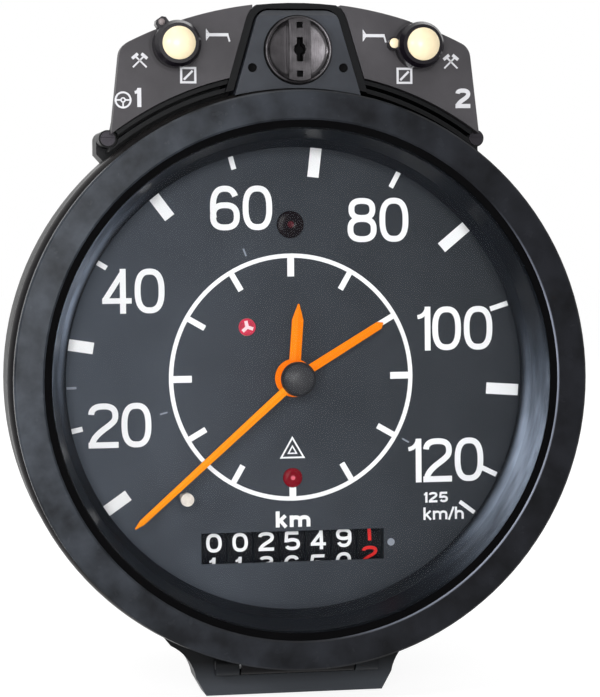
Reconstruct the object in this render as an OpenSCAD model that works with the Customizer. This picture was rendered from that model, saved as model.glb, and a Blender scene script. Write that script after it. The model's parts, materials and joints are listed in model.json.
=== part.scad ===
// Round panel tachograph: a fixed case with a barrel behind the panel, and a glazed lid that
// swings forward about a pin at its foot and carries the dial, the clock and the chart discs.
// +Y points into the panel, +Z up, +X to the reader's right. The panel face is y = 0.
// Depths named "_f" are measured forward of the panel face, so y = -f.

/* [Barrel and panel seat] */
// Outer radius of the barrel that goes through the panel
barrel_r = 70; // [68:0.5:74]
// Depth of the barrel behind the panel face
barrel_depth = 92; // [75:1:110]
// Wall of the barrel
barrel_wall = 1.4; // [1:0.1:1.6]
// Thickness of the panel gasket
gasket_t = 1.5; // [1:0.1:2.5]
// Thickness of the rear cover
cover_t = 2; // [1.5:0.1:3]

/* [Front frame] */
// Width of the frame's flange outside the barrel
flange_w = 9.5; // [8.5:0.1:10.5]
// Thickness of the frame's base plate
base_t = 10.5; // [9:0.5:12]
// Height of the lip that the lid shuts against
lip_h = 4; // [3.5:0.1:4.5]
// Height of the crown above the frame's ring
crown_w = 23.5; // [22.5:0.1:26]
// Height of the cheek faces above the base plate
cheek_h = 12.8; // [11:0.1:14]
// Depth of the side skirt of a cheek cover
cheek_skirt = 4.8; // [4:0.1:6]
// Distance from the frame's ring up to the cheeks
cheek_gap = 5; // [4.7:0.1:5.5]
// Half width of the cheeks at their lower corners
cheek_half_w = 51; // [50:0.1:52]
// Half width of the bottom tab at its foot
tab_half_w = 25; // [24:0.1:27]
// Height of the bottom tab below the frame's ring
tab_h = 9; // [7.5:0.1:11.5]

/* [Lid] */
// Distance that the rounded lid rim stands out beyond the frame's ring
rim_proud = 0.4; // [0:0.1:0.7]
// Depth of the rounded lid rim
rim_h = 9.8; // [9:0.1:11]
// Gap between the lid rim and the frame's lip
part_gap = 0.5; // [0.4:0.1:0.8]
// Depth of the groove between rim and bezel
groove_h = 3; // [2.5:0.1:4]
// Distance that the bezel stands in from the frame's ring
bezel_step = 0.7; // [0.3:0.1:1.5]
// Width of the bezel, from its edge to its opening
bezel_w = 8.1; // [7.5:0.1:9]
// Depth of the bezel
bezel_h = 4.5; // [4:0.1:5.5]
// Width of the sloping wall between the bezel's opening and the dial
wall_w = 6.1; // [5.5:0.1:7]
// Depth of the dial below the bezel's face
dial_depth = 21.8; // [20.8:0.1:22.8]
// Thickness of the glass
glass_t = 1.8; // [1.5:0.1:2]
// Depth of the pan behind the dial
pan_depth = 25.5; // [25:0.1:28]
// Wall of the pan
pan_wall = 1.4; // [1.2:0.1:1.4]
// Drop of the pan's centre below the dial axis
pan_drop = 1.2; // [1:0.1:1.4]

/* [Hinge] */
// Radius of the hinge pin
hinge_pin_r = 1.25; // [1:0.05:1.6]
// Radius of the hinge knuckles
knuckle_r = 3; // [2.8:0.1:3.1]
// Half length of the lid's knuckle
knuckle_half = 16; // [14:0.5:18]
// Length of each frame lug
lug_len = 6.4; // [5:0.1:7]

/* [Lock] */
// Distance of the lock axis below the crown
lock_inset = 13.1; // [12.7:0.1:13.5]
// Radius of the lock rotor
rotor_r = 9.2; // [8.5:0.1:9.4]
// Radius of the lock shaft
lock_shaft_r = 4; // [3.5:0.1:4.3]
// Half width of the lock plate at its foot
lock_half_w = 17.1; // [16.6:0.1:17.4]
// Width of the grip bar across the rotor
grip_w = 6.6; // [5.5:0.1:7.5]

/* [Mode knobs] */
// Distance of each knob axis from the middle
knob_x = 33.5; // [32.5:0.1:34.5]
// Distance of the knob axes inside the crown
knob_inset = 5.842; // [5.4:0.001:6.3]
// Radius of the knob body
knob_r = 6.3; // [5.8:0.1:6.6]
// Height of the knob body
knob_h = 7.6; // [7:0.1:9]
// Radius of the cream cap
cap_r = 4.75; // [4.3:0.05:5]
// Radius of the knob shaft
knob_shaft_r = 2; // [1.8:0.1:2.4]

/* [Dial and hands] */
// Width of the dial outside the clock ring
scale_band = 30.65; // [29.6:0.05:31.6]
// Width of the clock ring
clock_ring_w = 1.2; // [0.9:0.1:1.5]
// Speed scale: degrees for each km/h
deg_per_kmh = 2.187; // [2.15:0.001:2.2]
// Angle of the scale's zero from the top, clockwise
scale_zero = -146.4; // [-147:0.1:-146]
// Highest speed on the scale
speed_top = 125; // [120:5:125]
// Distance of the speed pointer's tip inside the edge of the dial
pointer_short = 3.9; // [3:0.1:6]
// Distance of the minute hand's tip inside the clock ring
minute_short = 4.85; // [3:0.05:6]
// Distance of the hour hand's tip inside the clock ring
hour_short = 13.35; // [12:0.05:15]
// Radius of the hub cap
hub_r = 4.8; // [4.5:0.1:5]
// Height of the hour hand above the dial
hour_up = 3.8; // [3.4:0.1:4.2]
// Height of the minute hand above the dial
minute_up = 6; // [5.8:0.1:6.6]
// Height of the speed pointer above the dial
pointer_up = 9.7; // [9.4:0.1:10.4]

/* [Distance counter] */
// Number of drums
drums = 7; // [7:1:7]
// Radius of the number drums
drum_r = 10.8; // [10.4:0.1:10.9]
// Pitch of the drums along their axle
drum_pitch = 7.4; // [7.3:0.05:7.45]
// Radius of the counter axle
axle_r = 1.5; // [1.2:0.1:2]
// Distance of the counter inside the edge of the dial
counter_inset = 17.2; // [16.8:0.1:17.6]
// Height of the counter window
window_h = 8.7; // [8.2:0.1:9.2]

/* [Charts and recorder] */
// Distance of the charts' edge inside the pan's edge
chart_inset = 2.9; // [2.8:0.1:4]
// Thickness of a chart disc
chart_t = 0.3; // [0.2:0.05:0.4]
// Radius of the chart spindle
spindle_r = 3; // [2.5:0.1:3.5]
// Thickness of the recorder plate
plate_t = 1.5; // [1.2:0.1:2]
// Radius of the stylus guide rod
guide_r = 1.2; // [1:0.1:1.5]

/* [Rear connections] */
// Radius of the clamp studs
stud_r = 3; // [2.5:0.1:3]
// Length of the clamp studs behind the rear cover
stud_len = 20; // [15:1:30]
// Distance between the clamp studs
stud_spacing = 90; // [84:1:94]
// Distance of the clamp studs below the dial axis
stud_drop = 20; // [15:1:24]
// Length of the ground stud behind the rear cover
ground_len = 12; // [9:1:16]
// Length of the screw bosses inside the barrel
boss_len = 14; // [11:1:18]
// Length of a connector block
connector_w = 30; // [24:1:32]
// Depth of a connector block behind the cover
connector_h = 9; // [7:0.5:12]

/* [Hidden] */
$fn = 96;

// Radial clearance of a shaft that turns or slides in its bore
run_fit = 0.05;
// Clearance between pieces that are assembled and stay still
seat_fit = 0.1;
// Clearance between pieces that move past each other
move_gap = 0.5;
// Overlap of a cutter beyond the face that it cuts
over = 1;

// Front outlines, from the barrel outwards
frame_r = barrel_r + flange_w;
crown_r = frame_r + crown_w;
cheek_low_r = frame_r + cheek_gap;
tab_drop = frame_r + tab_h;
rim_r = frame_r + rim_proud;
bezel_r = frame_r - bezel_step;
bezel_in_r = bezel_r - bezel_w;
dial_r = bezel_in_r - wall_w;

// Stack of depths, forward of the panel face
base_f = gasket_t + base_t;
lip_f = base_f + lip_h;
cheek_f = base_f + cheek_h;
cheek_back_f = cheek_f - cheek_skirt;
rim_back_f = lip_f + part_gap;
rim_f = rim_back_f + rim_h;
bezel_back_f = rim_f + groove_h;
front_f = bezel_back_f + bezel_h;
dial_f = front_f - dial_depth;
dial_t = 1;
dial_back_f = dial_f - dial_t;
bezel_plate = 1;
glass_f = front_f - bezel_plate;
glass_back_f = glass_f - glass_t;

// Radii of the lid, from the outside in
neck_r = bezel_r - 2.4;
glass_r = bezel_in_r + 1.3;
rim_bulge = 2.7;
rim_arc_r = (pow(rim_h / 2, 2) + rim_bulge * rim_bulge) / (2 * rim_bulge);
rim_arc_at = rim_r - rim_arc_r;
seal_lip = 2;
wall_outer_r = bezel_in_r - 1.4;
ring_in_r = wall_outer_r + seat_fit;
skirt_r = wall_outer_r + 1;
ledge_t = 2;
ledge_f = dial_f + ledge_t;
ledge_r = dial_r + 1.3;
mask_r = dial_r - 0.8;
mask_f = dial_f + 8.1;
mask_lip = 0.8;
mask_slope = [2.4, 3];
opening_f = dial_back_f - 3.5;
lip_in_r = skirt_r + 0.7;
flange_t = 1.6;
pan_r = dial_r - 0.2;
pan_flange_f = dial_back_f - flange_t;
pan_flange_r = wall_outer_r - seat_fit;
pan_back_f = dial_back_f - pan_depth;
pan_floor_t = 1.5;
pan_floor_f = pan_back_f + pan_floor_t;
screw_circle_r = pan_flange_r - 1.8;

// Opening of the frame and the barrel behind it
barrel_in_r = barrel_r - barrel_wall;
relief = 0.6;
cover_r = barrel_r - 0.8;
spigot_r = barrel_in_r - seat_fit;
opening_r = spigot_r - 1.1;
spigot_len = 7.5;
cover_f = -barrel_depth;
cover_back_f = cover_f - cover_t;

// Hinge
hinge_f = lip_f - 1;
hinge_drop = frame_r;
hinge_end = knuckle_half + move_gap + lug_len;

// Lines of the cheeks, as points on the right-hand one
cheek_wall = 1.4;
cheek_plate_t = 1.6;
cheek_lean = 0.112;
cheek_corner_r = 4.5;
cheek_start = 12.2;
cheek_clear = 2.6;
cheek_side_z = sqrt(cheek_low_r * cheek_low_r - cheek_half_w * cheek_half_w);
cheek_foot_z = frame_r - 19.5;
side_tilt = atan(cheek_lean);
corner_x = cheek_half_w - cheek_lean * 20.5 - cheek_corner_r;
corner_z = sqrt(pow(crown_r - cheek_corner_r, 2) - corner_x * corner_x);
corner_turn = atan2(corner_z, corner_x);
pedestal_inset = 2.8;
crown_inset = 0.7;

// Screw bosses below the cheeks
boss_x = cheek_half_w + 0.5;
boss_z = sqrt(pow(cheek_low_r - 0.627, 2) - boss_x * boss_x);
corner_boss_r = 2.4;
corner_boss_f = cheek_f - 6;
corner_screw_r = 1.25;
corner_screw_f = base_f - 5.5;

// Lock
lock_lean = 0.293;
lock_corner_r = 4;
lock_z = crown_r - lock_inset;
lock_top = crown_r - 2.2;
lock_foot_r = bezel_r + 0.8;
lock_foot_z = frame_r - 5.5;
pocket_f = cheek_f - 0.6;
lock_slope = [1.8, 1.5];
dimple_at = [12.6, lock_z - 4.8];
dimple_r = 1.25;
lock_face_f = cheek_f + 1.5;
lock_wall = 1.8;
lock_plate_t = 2;
lock_side_z = frame_r - 0.8;
ear_f = lock_face_f - lock_plate_t;
ear_back_f = base_f + 7.2;
cam_back_f = base_f + 2;
cam_t = 2.5;
cam_len = 6.6;
cam_w = 5;
cam_hub_r = lock_shaft_r + 0.3;
keeper_t = 1.5;
keeper_w = 10;
keeper_wall = 1.2;
keeper_f = cam_back_f + cam_t + 0.6;
keeper_low = lock_z + cam_hub_r + 0.5;
keeper_in = lock_z + norm([cam_len, cam_w / 2]) + 0.4;
rotor_back_f = ear_f + 0.2;
rotor_f = lock_face_f + 1.2;
grip_f = rotor_f + 1.9;

// Mode knobs
knob_z = sqrt(pow(crown_r - knob_inset, 2) - knob_x * knob_x);
knob_foot_f = cheek_f + 0.35;
knob_top_f = knob_foot_f + knob_h;
cap_h = 2.7;
cap_edge = 0.6;
cap_rise = cap_h - cap_edge;
cap_ball_r = (cap_r * cap_r + cap_rise * cap_rise) / (2 * cap_rise);
switch_w = 12;
switch_in = 9;
switch_out = 3.5;
switch_back_f = base_f + 1;
switch_f = cheek_f - cheek_plate_t - 0.3;
knob_rest_left = -35;
knob_rest_right = -86;
nib_reach = 8.4;
nib_w = 3.4;
nib_h = 4;
dot_at = 7.2;
dot_r = 0.85;

// Hands, on three arbors one inside the other
clock_ring_r = dial_r - scale_band;
pointer_len = dial_r - pointer_short;
minute_len = clock_ring_r - minute_short;
hour_len = clock_ring_r - hour_short;
hub_h = 4;
hub_edge = 1.6;
hub_rise = hub_h - hub_edge;
hub_ball_r = (hub_r * hub_r + hub_rise * hub_rise) / (2 * hub_rise);
hand_t = 0.6;
hour_f = dial_f + hour_up;
minute_f = dial_f + minute_up;
pointer_f = dial_f + pointer_up;
hour_pipe = [1.8, 2.5];
minute_pipe = [1.1, hour_pipe[0] - run_fit];
pointer_shaft_r = minute_pipe[0] - run_fit;
arbor_hole_r = hour_pipe[1] + 0.1;
hour_pipe_back_f = dial_back_f - 7;
minute_pipe_back_f = hour_pipe_back_f - 3;
pointer_back_f = minute_pipe_back_f - 3;
hour_angle = 4.25;
minute_angle = 59;
pointer_angle = -131.45;
stop_at = [dial_r - 19.6, -136.3];
stop_pin_r = 0.8;
movement_r = clock_ring_r - 9.95;
movement_back_f = -6;
indicator_at = [-12.4, 14.2];
indicator_r = 2.4;
upper_lens_at = [0, clock_ring_r + 8.65];
upper_lens_r = 3.8;
lower_lens_at = [0, 5.85 - clock_ring_r];
lower_lens_r = 2.7;

// Distance counter
counter_drop = dial_r - counter_inset;
window_half = drums * drum_pitch / 2 + 0.1;
drum_w = drum_pitch - 0.5;
counter_f = dial_back_f - 0.6 - drum_r;
counter_plate_x = drums * drum_pitch / 2 + 1.1;
counter_plate_t = 1.2;
counter_plate_h = 9.4;

// Chart stack behind the pan
chart_r = pan_r - chart_inset;
table_gap = 0.3;
collar_t = 0.4;
chart_front_f = pan_back_f - table_gap - collar_t;
separator_t = 0.6;
separator_f = chart_front_f - chart_t - 0.4;
chart_rear_f = separator_f - separator_t - 0.4;
clip_f = chart_rear_f - chart_t;
clip_h = 2.4;
clip_r = 7;
separator_ear_r = pan_r - 0.4;

// Recorder
plate_f = clip_f - clip_h - 2.5;
plate_back_f = plate_f - plate_t;
plate_r = barrel_in_r - 0.4;
ledge_in_r = barrel_in_r - 3;
guide_rise = 3;
guide_f = plate_back_f - guide_rise;
guide_low = 8;
guide_high = chart_r + 0.5;
guide_foot = [10, 4];
speed_rest = chart_r - 24.5;
activity_rest = chart_r - 34.5;
distance_rest = chart_r - 46;
stylus_w = 2;
stylus_gap = 0.4;
slot_half = stylus_w / 2 + 0.3;

// Rear
boss_r = 4;
boss_at = barrel_in_r - boss_r + 0.4;
screw_r = 1.45;
screw_in = boss_len - 2;
blade_h = 6;
stud_neck_r = stud_r - 0.4;
connector_at = [connector_w / 2 + 5, 22];
connector_d = 15;
blade_w = 4.4;
ground_z = -50;
rib_x = 2.4;
rib_len = 2 * (barrel_r - 28);

// Points on an arc around c, from angle a0 to angle a1 in n steps
function arc(c, r, a0, a1, n) =
    [for (k = [0 : n]) let (a = a0 + (a1 - a0) * k / n) c + r * [cos(a), sin(a)]];

// Point at a clock angle, clockwise from the top
function clock_point(r, a) = [r * sin(a), r * cos(a)];

// Slab between two depths, its outline drawn as seen from the front
module slab(back, front)
    translate([0, -back, 0]) rotate([90, 0, 0]) linear_extrude(front - back) children();

// Turned piece on the dial axis, its profile drawn as [radius, depth forward of the panel]
module turned()
    rotate([90, 0, 0]) rotate_extrude() children();

// Ring between two radii and two depths
module ring(r_in, r_out, back, front)
    turned() translate([r_in, back]) square([r_out - r_in, front - back]);

// Round bar along the depth, at a point of the front view
module bar(r, back, front, at = [0, 0])
    translate([at[0], -back, at[1]]) rotate([90, 0, 0]) cylinder(r = r, h = front - back);

// Round bar along X at a depth and height
module cross_bar(r, x0, x1, f, z)
    translate([x0, -f, z]) rotate([0, 90, 0]) cylinder(r = r, h = x1 - x0);

// The children turned clockwise by a, seen from the front
module clockwise(a) rotate([0, a, 0]) children();

// The children at each of n places evenly round the dial axis
module round_places(n, first = 0)
    for (k = [0 : n - 1]) clockwise(first + 360 * k / n) children();

module both_sides() {
    children();
    mirror([1, 0, 0]) children();
}

// Outline of the right-hand cheek, drawn in by an inset
module cheek_outline(inset = 0) {
    difference() {
        intersection() {
            difference() {
                circle(crown_r - inset);
                circle(cheek_low_r + inset);
            }
            polygon(concat(
                [[cheek_start, cheek_foot_z],
                    [cheek_half_w + cheek_lean * (cheek_side_z - cheek_foot_z) - inset, cheek_foot_z]],
                arc([corner_x, corner_z], cheek_corner_r - inset, side_tilt, corner_turn, 6),
                [[2.5 * cheek_start, crown_r + 8], [cheek_start, crown_r + 8]]));
        }
        lock_outline(-cheek_clear - inset, 1);
    }
}

// Outline of the lock plate, drawn in by an inset and ending at a foot radius
module lock_outline(inset = 0, foot_at = lock_foot_r) {
    corner_c = [lock_half_w - lock_lean * (lock_top - lock_corner_r - lock_side_z) - lock_corner_r * 1.04,
        lock_top - lock_corner_r];
    foot = [lock_half_w + lock_lean * (lock_side_z - lock_foot_z) - inset * 1.04, lock_foot_z];
    right = concat([foot], arc(corner_c, lock_corner_r - inset, atan(lock_lean), 90, 6));
    left = [for (k = [len(right) - 1 : -1 : 0]) [-right[k][0], right[k][1]]];
    difference() {
        polygon(concat(right, left));
        circle(foot_at);
    }
}

// Outline of the frame's wall round the lock plate, between the two cheeks
module pocket_outline() {
    difference() {
        intersection() {
            circle(crown_r - seat_fit);
            lock_outline(seat_fit - cheek_clear, cheek_low_r - 3.5);
        }
        lock_outline(-move_gap, 1);
    }
}

// Outline of the frame's base: ring, crown and bottom tab with its concave sides
module base_outline() {
    circle(frame_r);
    crown_side = cheek_half_w - pedestal_inset;
    crown_line = [[0, cheek_foot_z], [2.3, crown_r - 14], [6, crown_r - 7], [10, crown_r + 1]];
    intersection() {
        circle(crown_r - crown_inset);
        polygon(concat([for (p = crown_line) [crown_side - p[0], p[1]]],
            [for (k = [3 : -1 : 0]) [crown_line[k][0] - crown_side, crown_line[k][1]]]));
    }
    flank_r = 13;
    difference() {
        polygon([[-tab_half_w, -tab_drop], [tab_half_w, -tab_drop], [tab_half_w + 2.8, 5 - tab_drop],
            [tab_half_w + flank_r, -barrel_r], [-tab_half_w - flank_r, -barrel_r],
            [-tab_half_w - 2.8, 5 - tab_drop]]);
        for (side = [-1, 1]) translate([side * (tab_half_w + 2.6 + flank_r), 2.7 - tab_drop]) circle(flank_r);
    }
    for (side = [0, 1]) mirror([side, 0]) translate([boss_x, boss_z])
        polygon([[-7.5, -6.2], [0.5, -6], [corner_boss_r, -3.9], [corner_boss_r, 0], [0, corner_boss_r],
            [-5.5, 3.8]]);
}

// Two low ribs that follow the rim below the cheeks
module crown_ribs() {
    intersection() {
        union() {
            ring(cheek_low_r - 3.5, cheek_low_r - 2.3, base_f - over, cheek_f - 3);
            ring(cheek_low_r - 1.4, cheek_low_r + 3.5, base_f - over, cheek_f - 5.4);
            ring(cheek_low_r - 1.4, cheek_low_r - 0.3, base_f - over, cheek_f - 2);
        }
        both_sides() slab(base_f - over, cheek_f)
            polygon([[lock_half_w + 1.2, frame_r - 3.5], [cheek_half_w + 0.6, cheek_side_z - 5.5],
                [cheek_half_w - 1.5, cheek_side_z + 4.5], [lock_half_w + 1.2, cheek_low_r + 7.5]]);
    }
}

// The children at the screw boss below each cheek's outer corner
module corner_boss_place()
    for (side = [-1, 1]) translate([side * boss_x, 0, boss_z]) children();

// The children at each knob axis, turned to face the dial axis
module switch_places()
    for (side = [-1, 1]) translate([side * knob_x, 0, knob_z])
        clockwise(side * atan2(knob_x, knob_z)) children();

// Outline of a switch block, with its shaft nearer its outer end
module switch_outline(grow = 0)
    translate([-switch_w / 2 - grow, -switch_in - grow])
        square([switch_w + 2 * grow, switch_in + switch_out + 2 * grow]);

module front_frame() {
    color("#2b2d31") difference() {
        union() {
            slab(gasket_t, base_f) base_outline();
            turned() polygon([[lip_in_r, base_f - over], [frame_r, base_f - over], [frame_r, lip_f - 1],
                [frame_r - 0.8, lip_f], [lip_in_r, lip_f]]);
            ring(opening_r, spigot_r, gasket_t - spigot_len, gasket_t + over);
            slab(base_f - over, pocket_f) pocket_outline();
            crown_ribs();
            both_sides() {
                slab(base_f - over, cheek_back_f) cheek_outline(pedestal_inset);
                slab(cheek_back_f, cheek_f - cheek_plate_t) cheek_outline(cheek_wall + seat_fit);
                cross_bar(knuckle_r, knuckle_half + move_gap, hinge_end, hinge_f, -hinge_drop);
            }
            corner_boss_place() bar(corner_boss_r, gasket_t, corner_boss_f);
        }
        ring(0, opening_r, gasket_t - spigot_len - over, opening_f + over);
        ring(0, lip_in_r, opening_f, lip_f + over);
        cross_bar(knuckle_r + move_gap, -knuckle_half - move_gap, knuckle_half + move_gap, hinge_f,
            -hinge_drop);
        cross_bar(hinge_pin_r + 0.02, -hinge_end - over, hinge_end + over, hinge_f, -hinge_drop);
        switch_places() slab(switch_back_f, cheek_f) switch_outline(0.15);
        corner_boss_place() {
            bar(corner_screw_r + 0.05, corner_screw_f - 1, cheek_f);
            bar(corner_boss_r + 0.2, corner_boss_f, cheek_f);
        }
    }
}

module mounting_gasket() {
    color("#161616") ring(barrel_r + 0.2, frame_r - 1, 0, gasket_t);
}

module cheek(side) {
    color("#48474a") mirror([side < 0 ? 1 : 0, 0, 0]) difference() {
        slab(cheek_back_f, cheek_f) cheek_outline();
        slab(cheek_back_f - over, cheek_f - cheek_plate_t) cheek_outline(cheek_wall);
        bar(knob_shaft_r + 0.5, 0, front_f, [knob_x, knob_z]);
        bar(knob_r + 0.7, cheek_f - 0.4, front_f, [knob_x, knob_z]);
    }
}

module cheek_left() cheek(-1);
module cheek_right() cheek(1);

// Screw with a slotted head, its head's underside at a depth, its shank to the rear or the front
module slotted_screw(head_r, head_h, shank_r, seat, shank_end, slot_w = 0.8) {
    forward = shank_end < seat;
    back = forward ? seat : seat - head_h;
    difference() {
        union() {
            bar(head_r, back, back + head_h);
            bar(shank_r, min(seat, shank_end), max(seat, shank_end));
        }
        slab(forward ? back + head_h / 2 : back - over, forward ? back + head_h + over : back + head_h / 2)
            square([2 * head_r + over, slot_w], center = true);
    }
}

module corner_screws() {
    color("#8b8b8f") corner_boss_place()
        slotted_screw(corner_boss_r - 0.4, 1.2, corner_screw_r, corner_boss_f, corner_screw_f);
}

module barrel() {
    color("#3d4043") difference() {
        union() {
            turned() polygon([[barrel_in_r, cover_f], [barrel_r, cover_f], [barrel_r, 0],
                [barrel_r - relief, 0], [barrel_r - relief, gasket_t], [barrel_in_r, gasket_t]]);
            ring(ledge_in_r, barrel_in_r + 0.2, plate_back_f - 2, plate_back_f);
            intersection() {
                round_places(4, 45) bar(boss_r, cover_f, cover_f + boss_len, [0, boss_at]);
                ring(0, barrel_r - 0.2, cover_f, 0);
            }
        }
        round_places(4, 45) bar(screw_r + 0.05, cover_f - over, cover_f + screw_in, [0, boss_at - 0.8]);
        round_places(3, 60) bar(1.05, plate_back_f - 1.8, plate_back_f + over, [0, barrel_in_r - 1.7]);
    }
}

module rear_cover() {
    color("#3d4043") difference() {
        union() {
            ring(0, cover_r, cover_back_f, cover_f);
            for (side = [-1, 1]) translate([side * rib_x, 0, 0])
                slab(cover_back_f - 1.2, cover_f - cover_t / 2) square([1.4, rib_len], center = true);
        }
        round_places(4, 45) bar(screw_r + 0.15, cover_back_f - over, cover_f + over, [0, boss_at - 0.8]);
        for (side = [-1, 1])
            bar(stud_neck_r + 0.02, cover_back_f - over, cover_f + over,
                [side * stud_spacing / 2, -stud_drop]);
        bar(2.52, cover_back_f - over, cover_f + over, [0, ground_z]);
    }
}

module rear_screws() {
    color("#9a9b9d") round_places(4, 45) translate([0, 0, boss_at - 0.8])
        slotted_screw(2.8, 2, screw_r, cover_back_f, cover_f + screw_in - 3);
}

// The children at both connector blocks
module connector_places()
    for (side = [-1, 1]) translate([side * connector_at[0], 0, connector_at[1]]) children();

module connector_blocks() {
    color("#c9c3ab") connector_places() difference() {
        slab(cover_back_f - connector_h, cover_back_f) square([connector_w, connector_d], center = true);
        slab(cover_back_f - connector_h - over, cover_back_f - connector_h + 2)
            square([connector_w / 4, connector_d / 5], center = true);
    }
}

module connector_blades() {
    back = cover_back_f - connector_h;
    color("#c8a24a") connector_places() for (row = [-1, 1], k = [-1.5 : 1 : 1.5])
        translate([k * (connector_w - 3) / 4, 0, row * connector_d * 0.3])
            slab(back - blade_h, back) square([blade_w, 0.8], center = true);
}

module clamp_studs() {
    color("#a3a5a8") for (side = [-1, 1]) translate([side * stud_spacing / 2, 0, -stud_drop]) {
        bar(stud_r, cover_back_f - stud_len, cover_back_f);
        bar(stud_neck_r, cover_back_f, cover_f);
        bar(stud_r + 2.5, cover_f, cover_f + 2);
    }
}

module ground_stud() {
    color("#b08d3c") translate([0, 0, ground_z]) {
        bar(2.5, cover_back_f - ground_len, cover_f);
        bar(4.5, cover_f, cover_f + 2);
        translate([0, -cover_back_f + 4, 0]) rotate([90, 0, 0]) cylinder(r = 4.6, h = 4, $fn = 6);
    }
}

module recorder_plate() {
    color("#8f9294") difference() {
        union() {
            ring(0, plate_r, plate_back_f, plate_f);
            ring(plate_r - 5, plate_r - 3.6, plate_f - over / 2, plate_f + 0.8);
        }
        slab(plate_back_f - over, plate_f + over)
            translate([-slot_half, guide_low + 4]) square([2 * slot_half, guide_high - guide_low - 8]);
        round_places(3, 60) bar(1.15, plate_back_f - over, plate_f + over, [0, barrel_in_r - 1.7]);
    }
}

module plate_screws() {
    color("#b9babc") round_places(3, 60) translate([0, 0, barrel_in_r - 1.7])
        slotted_screw(1.2, 1, 1, plate_f, plate_back_f - 1.6, 0.4);
}

module stylus_guide() {
    color("#b4b6b8") {
        translate([0, -guide_f, guide_low]) cylinder(r = guide_r, h = guide_high - guide_low);
        for (z = [guide_low - guide_foot[1] + 1, guide_high - 1])
            translate([-guide_foot[0] / 2, -plate_back_f, z])
                cube([guide_foot[0], guide_rise + guide_r + 1, guide_foot[1]]);
    }
}

// Stylus on its carriage at height z, its tip a hair off the rear chart
module stylus(z, arm) {
    tip_f = clip_f - stylus_gap;
    difference() {
        union() {
            translate([-3, -guide_f - 2.6, z - 3]) cube([6, 5.2, 6]);
            translate([-stylus_w / 2, -tip_f + 1.4, z - arm / 2])
                cube([stylus_w, tip_f - 1.4 - guide_f, arm]);
            translate([0, -tip_f + 1.4, z]) rotate([90, 0, 0]) cylinder(r1 = 0.9, r2 = 0.25, h = 1.4);
        }
        translate([0, -guide_f, z - 3 - over]) cylinder(r = guide_r + run_fit, h = 6 + 2 * over);
    }
}

module speed_stylus() color("#c7412f") stylus(speed_rest, 3);
module distance_stylus() color("#d3a63a") stylus(distance_rest, 2.4);
module activity_stylus() color("#4f7fb8") stylus(activity_rest, 2.4);

// Cross-section of the keeper from a height up to its back
module keeper_strip(low)
    translate([-keeper_w / 2, low]) square([keeper_w, keeper_in + keeper_wall - low]);

module lock_keeper() {
    color("#a9abad") {
        slab(base_f, base_f + keeper_t) keeper_strip(keeper_in - 4);
        slab(base_f, keeper_f + keeper_t) keeper_strip(keeper_in);
        slab(keeper_f, keeper_f + keeper_t) keeper_strip(keeper_low);
    }
}

module hinge_pin() {
    color("#b5b7b9") cross_bar(hinge_pin_r, -hinge_end, hinge_end, hinge_f, -hinge_drop);
}

module mode_switches() {
    color("#1f3b35") switch_places() difference() {
        slab(switch_back_f, switch_f) switch_outline();
        bar(knob_shaft_r + run_fit, switch_back_f + 2, switch_f + over);
    }
}

module lid_ring() {
    mid_f = (rim_back_f + rim_f) / 2;
    color("#2a2c30") difference() {
        union() {
            turned() {
                polygon([[ledge_r, dial_f], [skirt_r, dial_f], [skirt_r, rim_back_f],
                    [rim_arc_at, rim_back_f], [rim_arc_at, mid_f], [neck_r, mid_f],
                    [neck_r, glass_f - seat_fit], [glass_r + 0.15, glass_f - seat_fit],
                    [glass_r + 0.15, glass_back_f], [ring_in_r, glass_back_f], [ring_in_r, ledge_f],
                    [ledge_r, ledge_f]]);
                intersection() {
                    translate([rim_arc_at, mid_f]) circle(rim_arc_r);
                    translate([rim_arc_at - 0.1, rim_back_f]) square([rim_arc_r + over, rim_h]);
                }
            }
            slab(ear_back_f, ear_f) lock_outline(lock_wall + seat_fit, neck_r);
            cross_bar(knuckle_r, -knuckle_half, knuckle_half, hinge_f, -hinge_drop);
        }
        both_sides()
            cross_bar(knuckle_r + move_gap, knuckle_half, hinge_end + move_gap, hinge_f, -hinge_drop);
        cross_bar(hinge_pin_r + run_fit, -hinge_end, hinge_end, hinge_f, -hinge_drop);
        bar(lock_shaft_r + run_fit, 0, front_f, [0, lock_z]);
        round_places(4, 45) bar(1.25, dial_f - over, dial_f + 1.6, [0, screw_circle_r]);
    }
}

module bezel_ring() {
    edge = 0.5;
    color("#2d333d") turned() polygon([[bezel_in_r, glass_f], [neck_r + 0.05, glass_f],
        [neck_r + 0.05, bezel_back_f], [bezel_r - edge, bezel_back_f], [bezel_r, bezel_back_f + edge],
        [bezel_r, front_f - edge], [bezel_r - edge, front_f], [bezel_in_r + edge, front_f],
        [bezel_in_r, front_f - edge]]);
}

module glass_seal() {
    color("#0c0c0d") ring(bezel_in_r - seal_lip, bezel_in_r - 0.05, glass_f, glass_f + 0.55);
}

module glass() {
    color("#dfe8ec", 0.2) ring(0, glass_r, glass_back_f, glass_f);
}

module inner_wall() {
    color("#25282d") turned() polygon([[wall_outer_r - 1, glass_back_f], [wall_outer_r, glass_back_f],
        [wall_outer_r, ledge_f], [ledge_r, ledge_f], [ledge_r, mask_f - mask_lip], [mask_r, mask_f],
        [mask_r + mask_slope[0], mask_f + mask_slope[1]]]);
}

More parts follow.
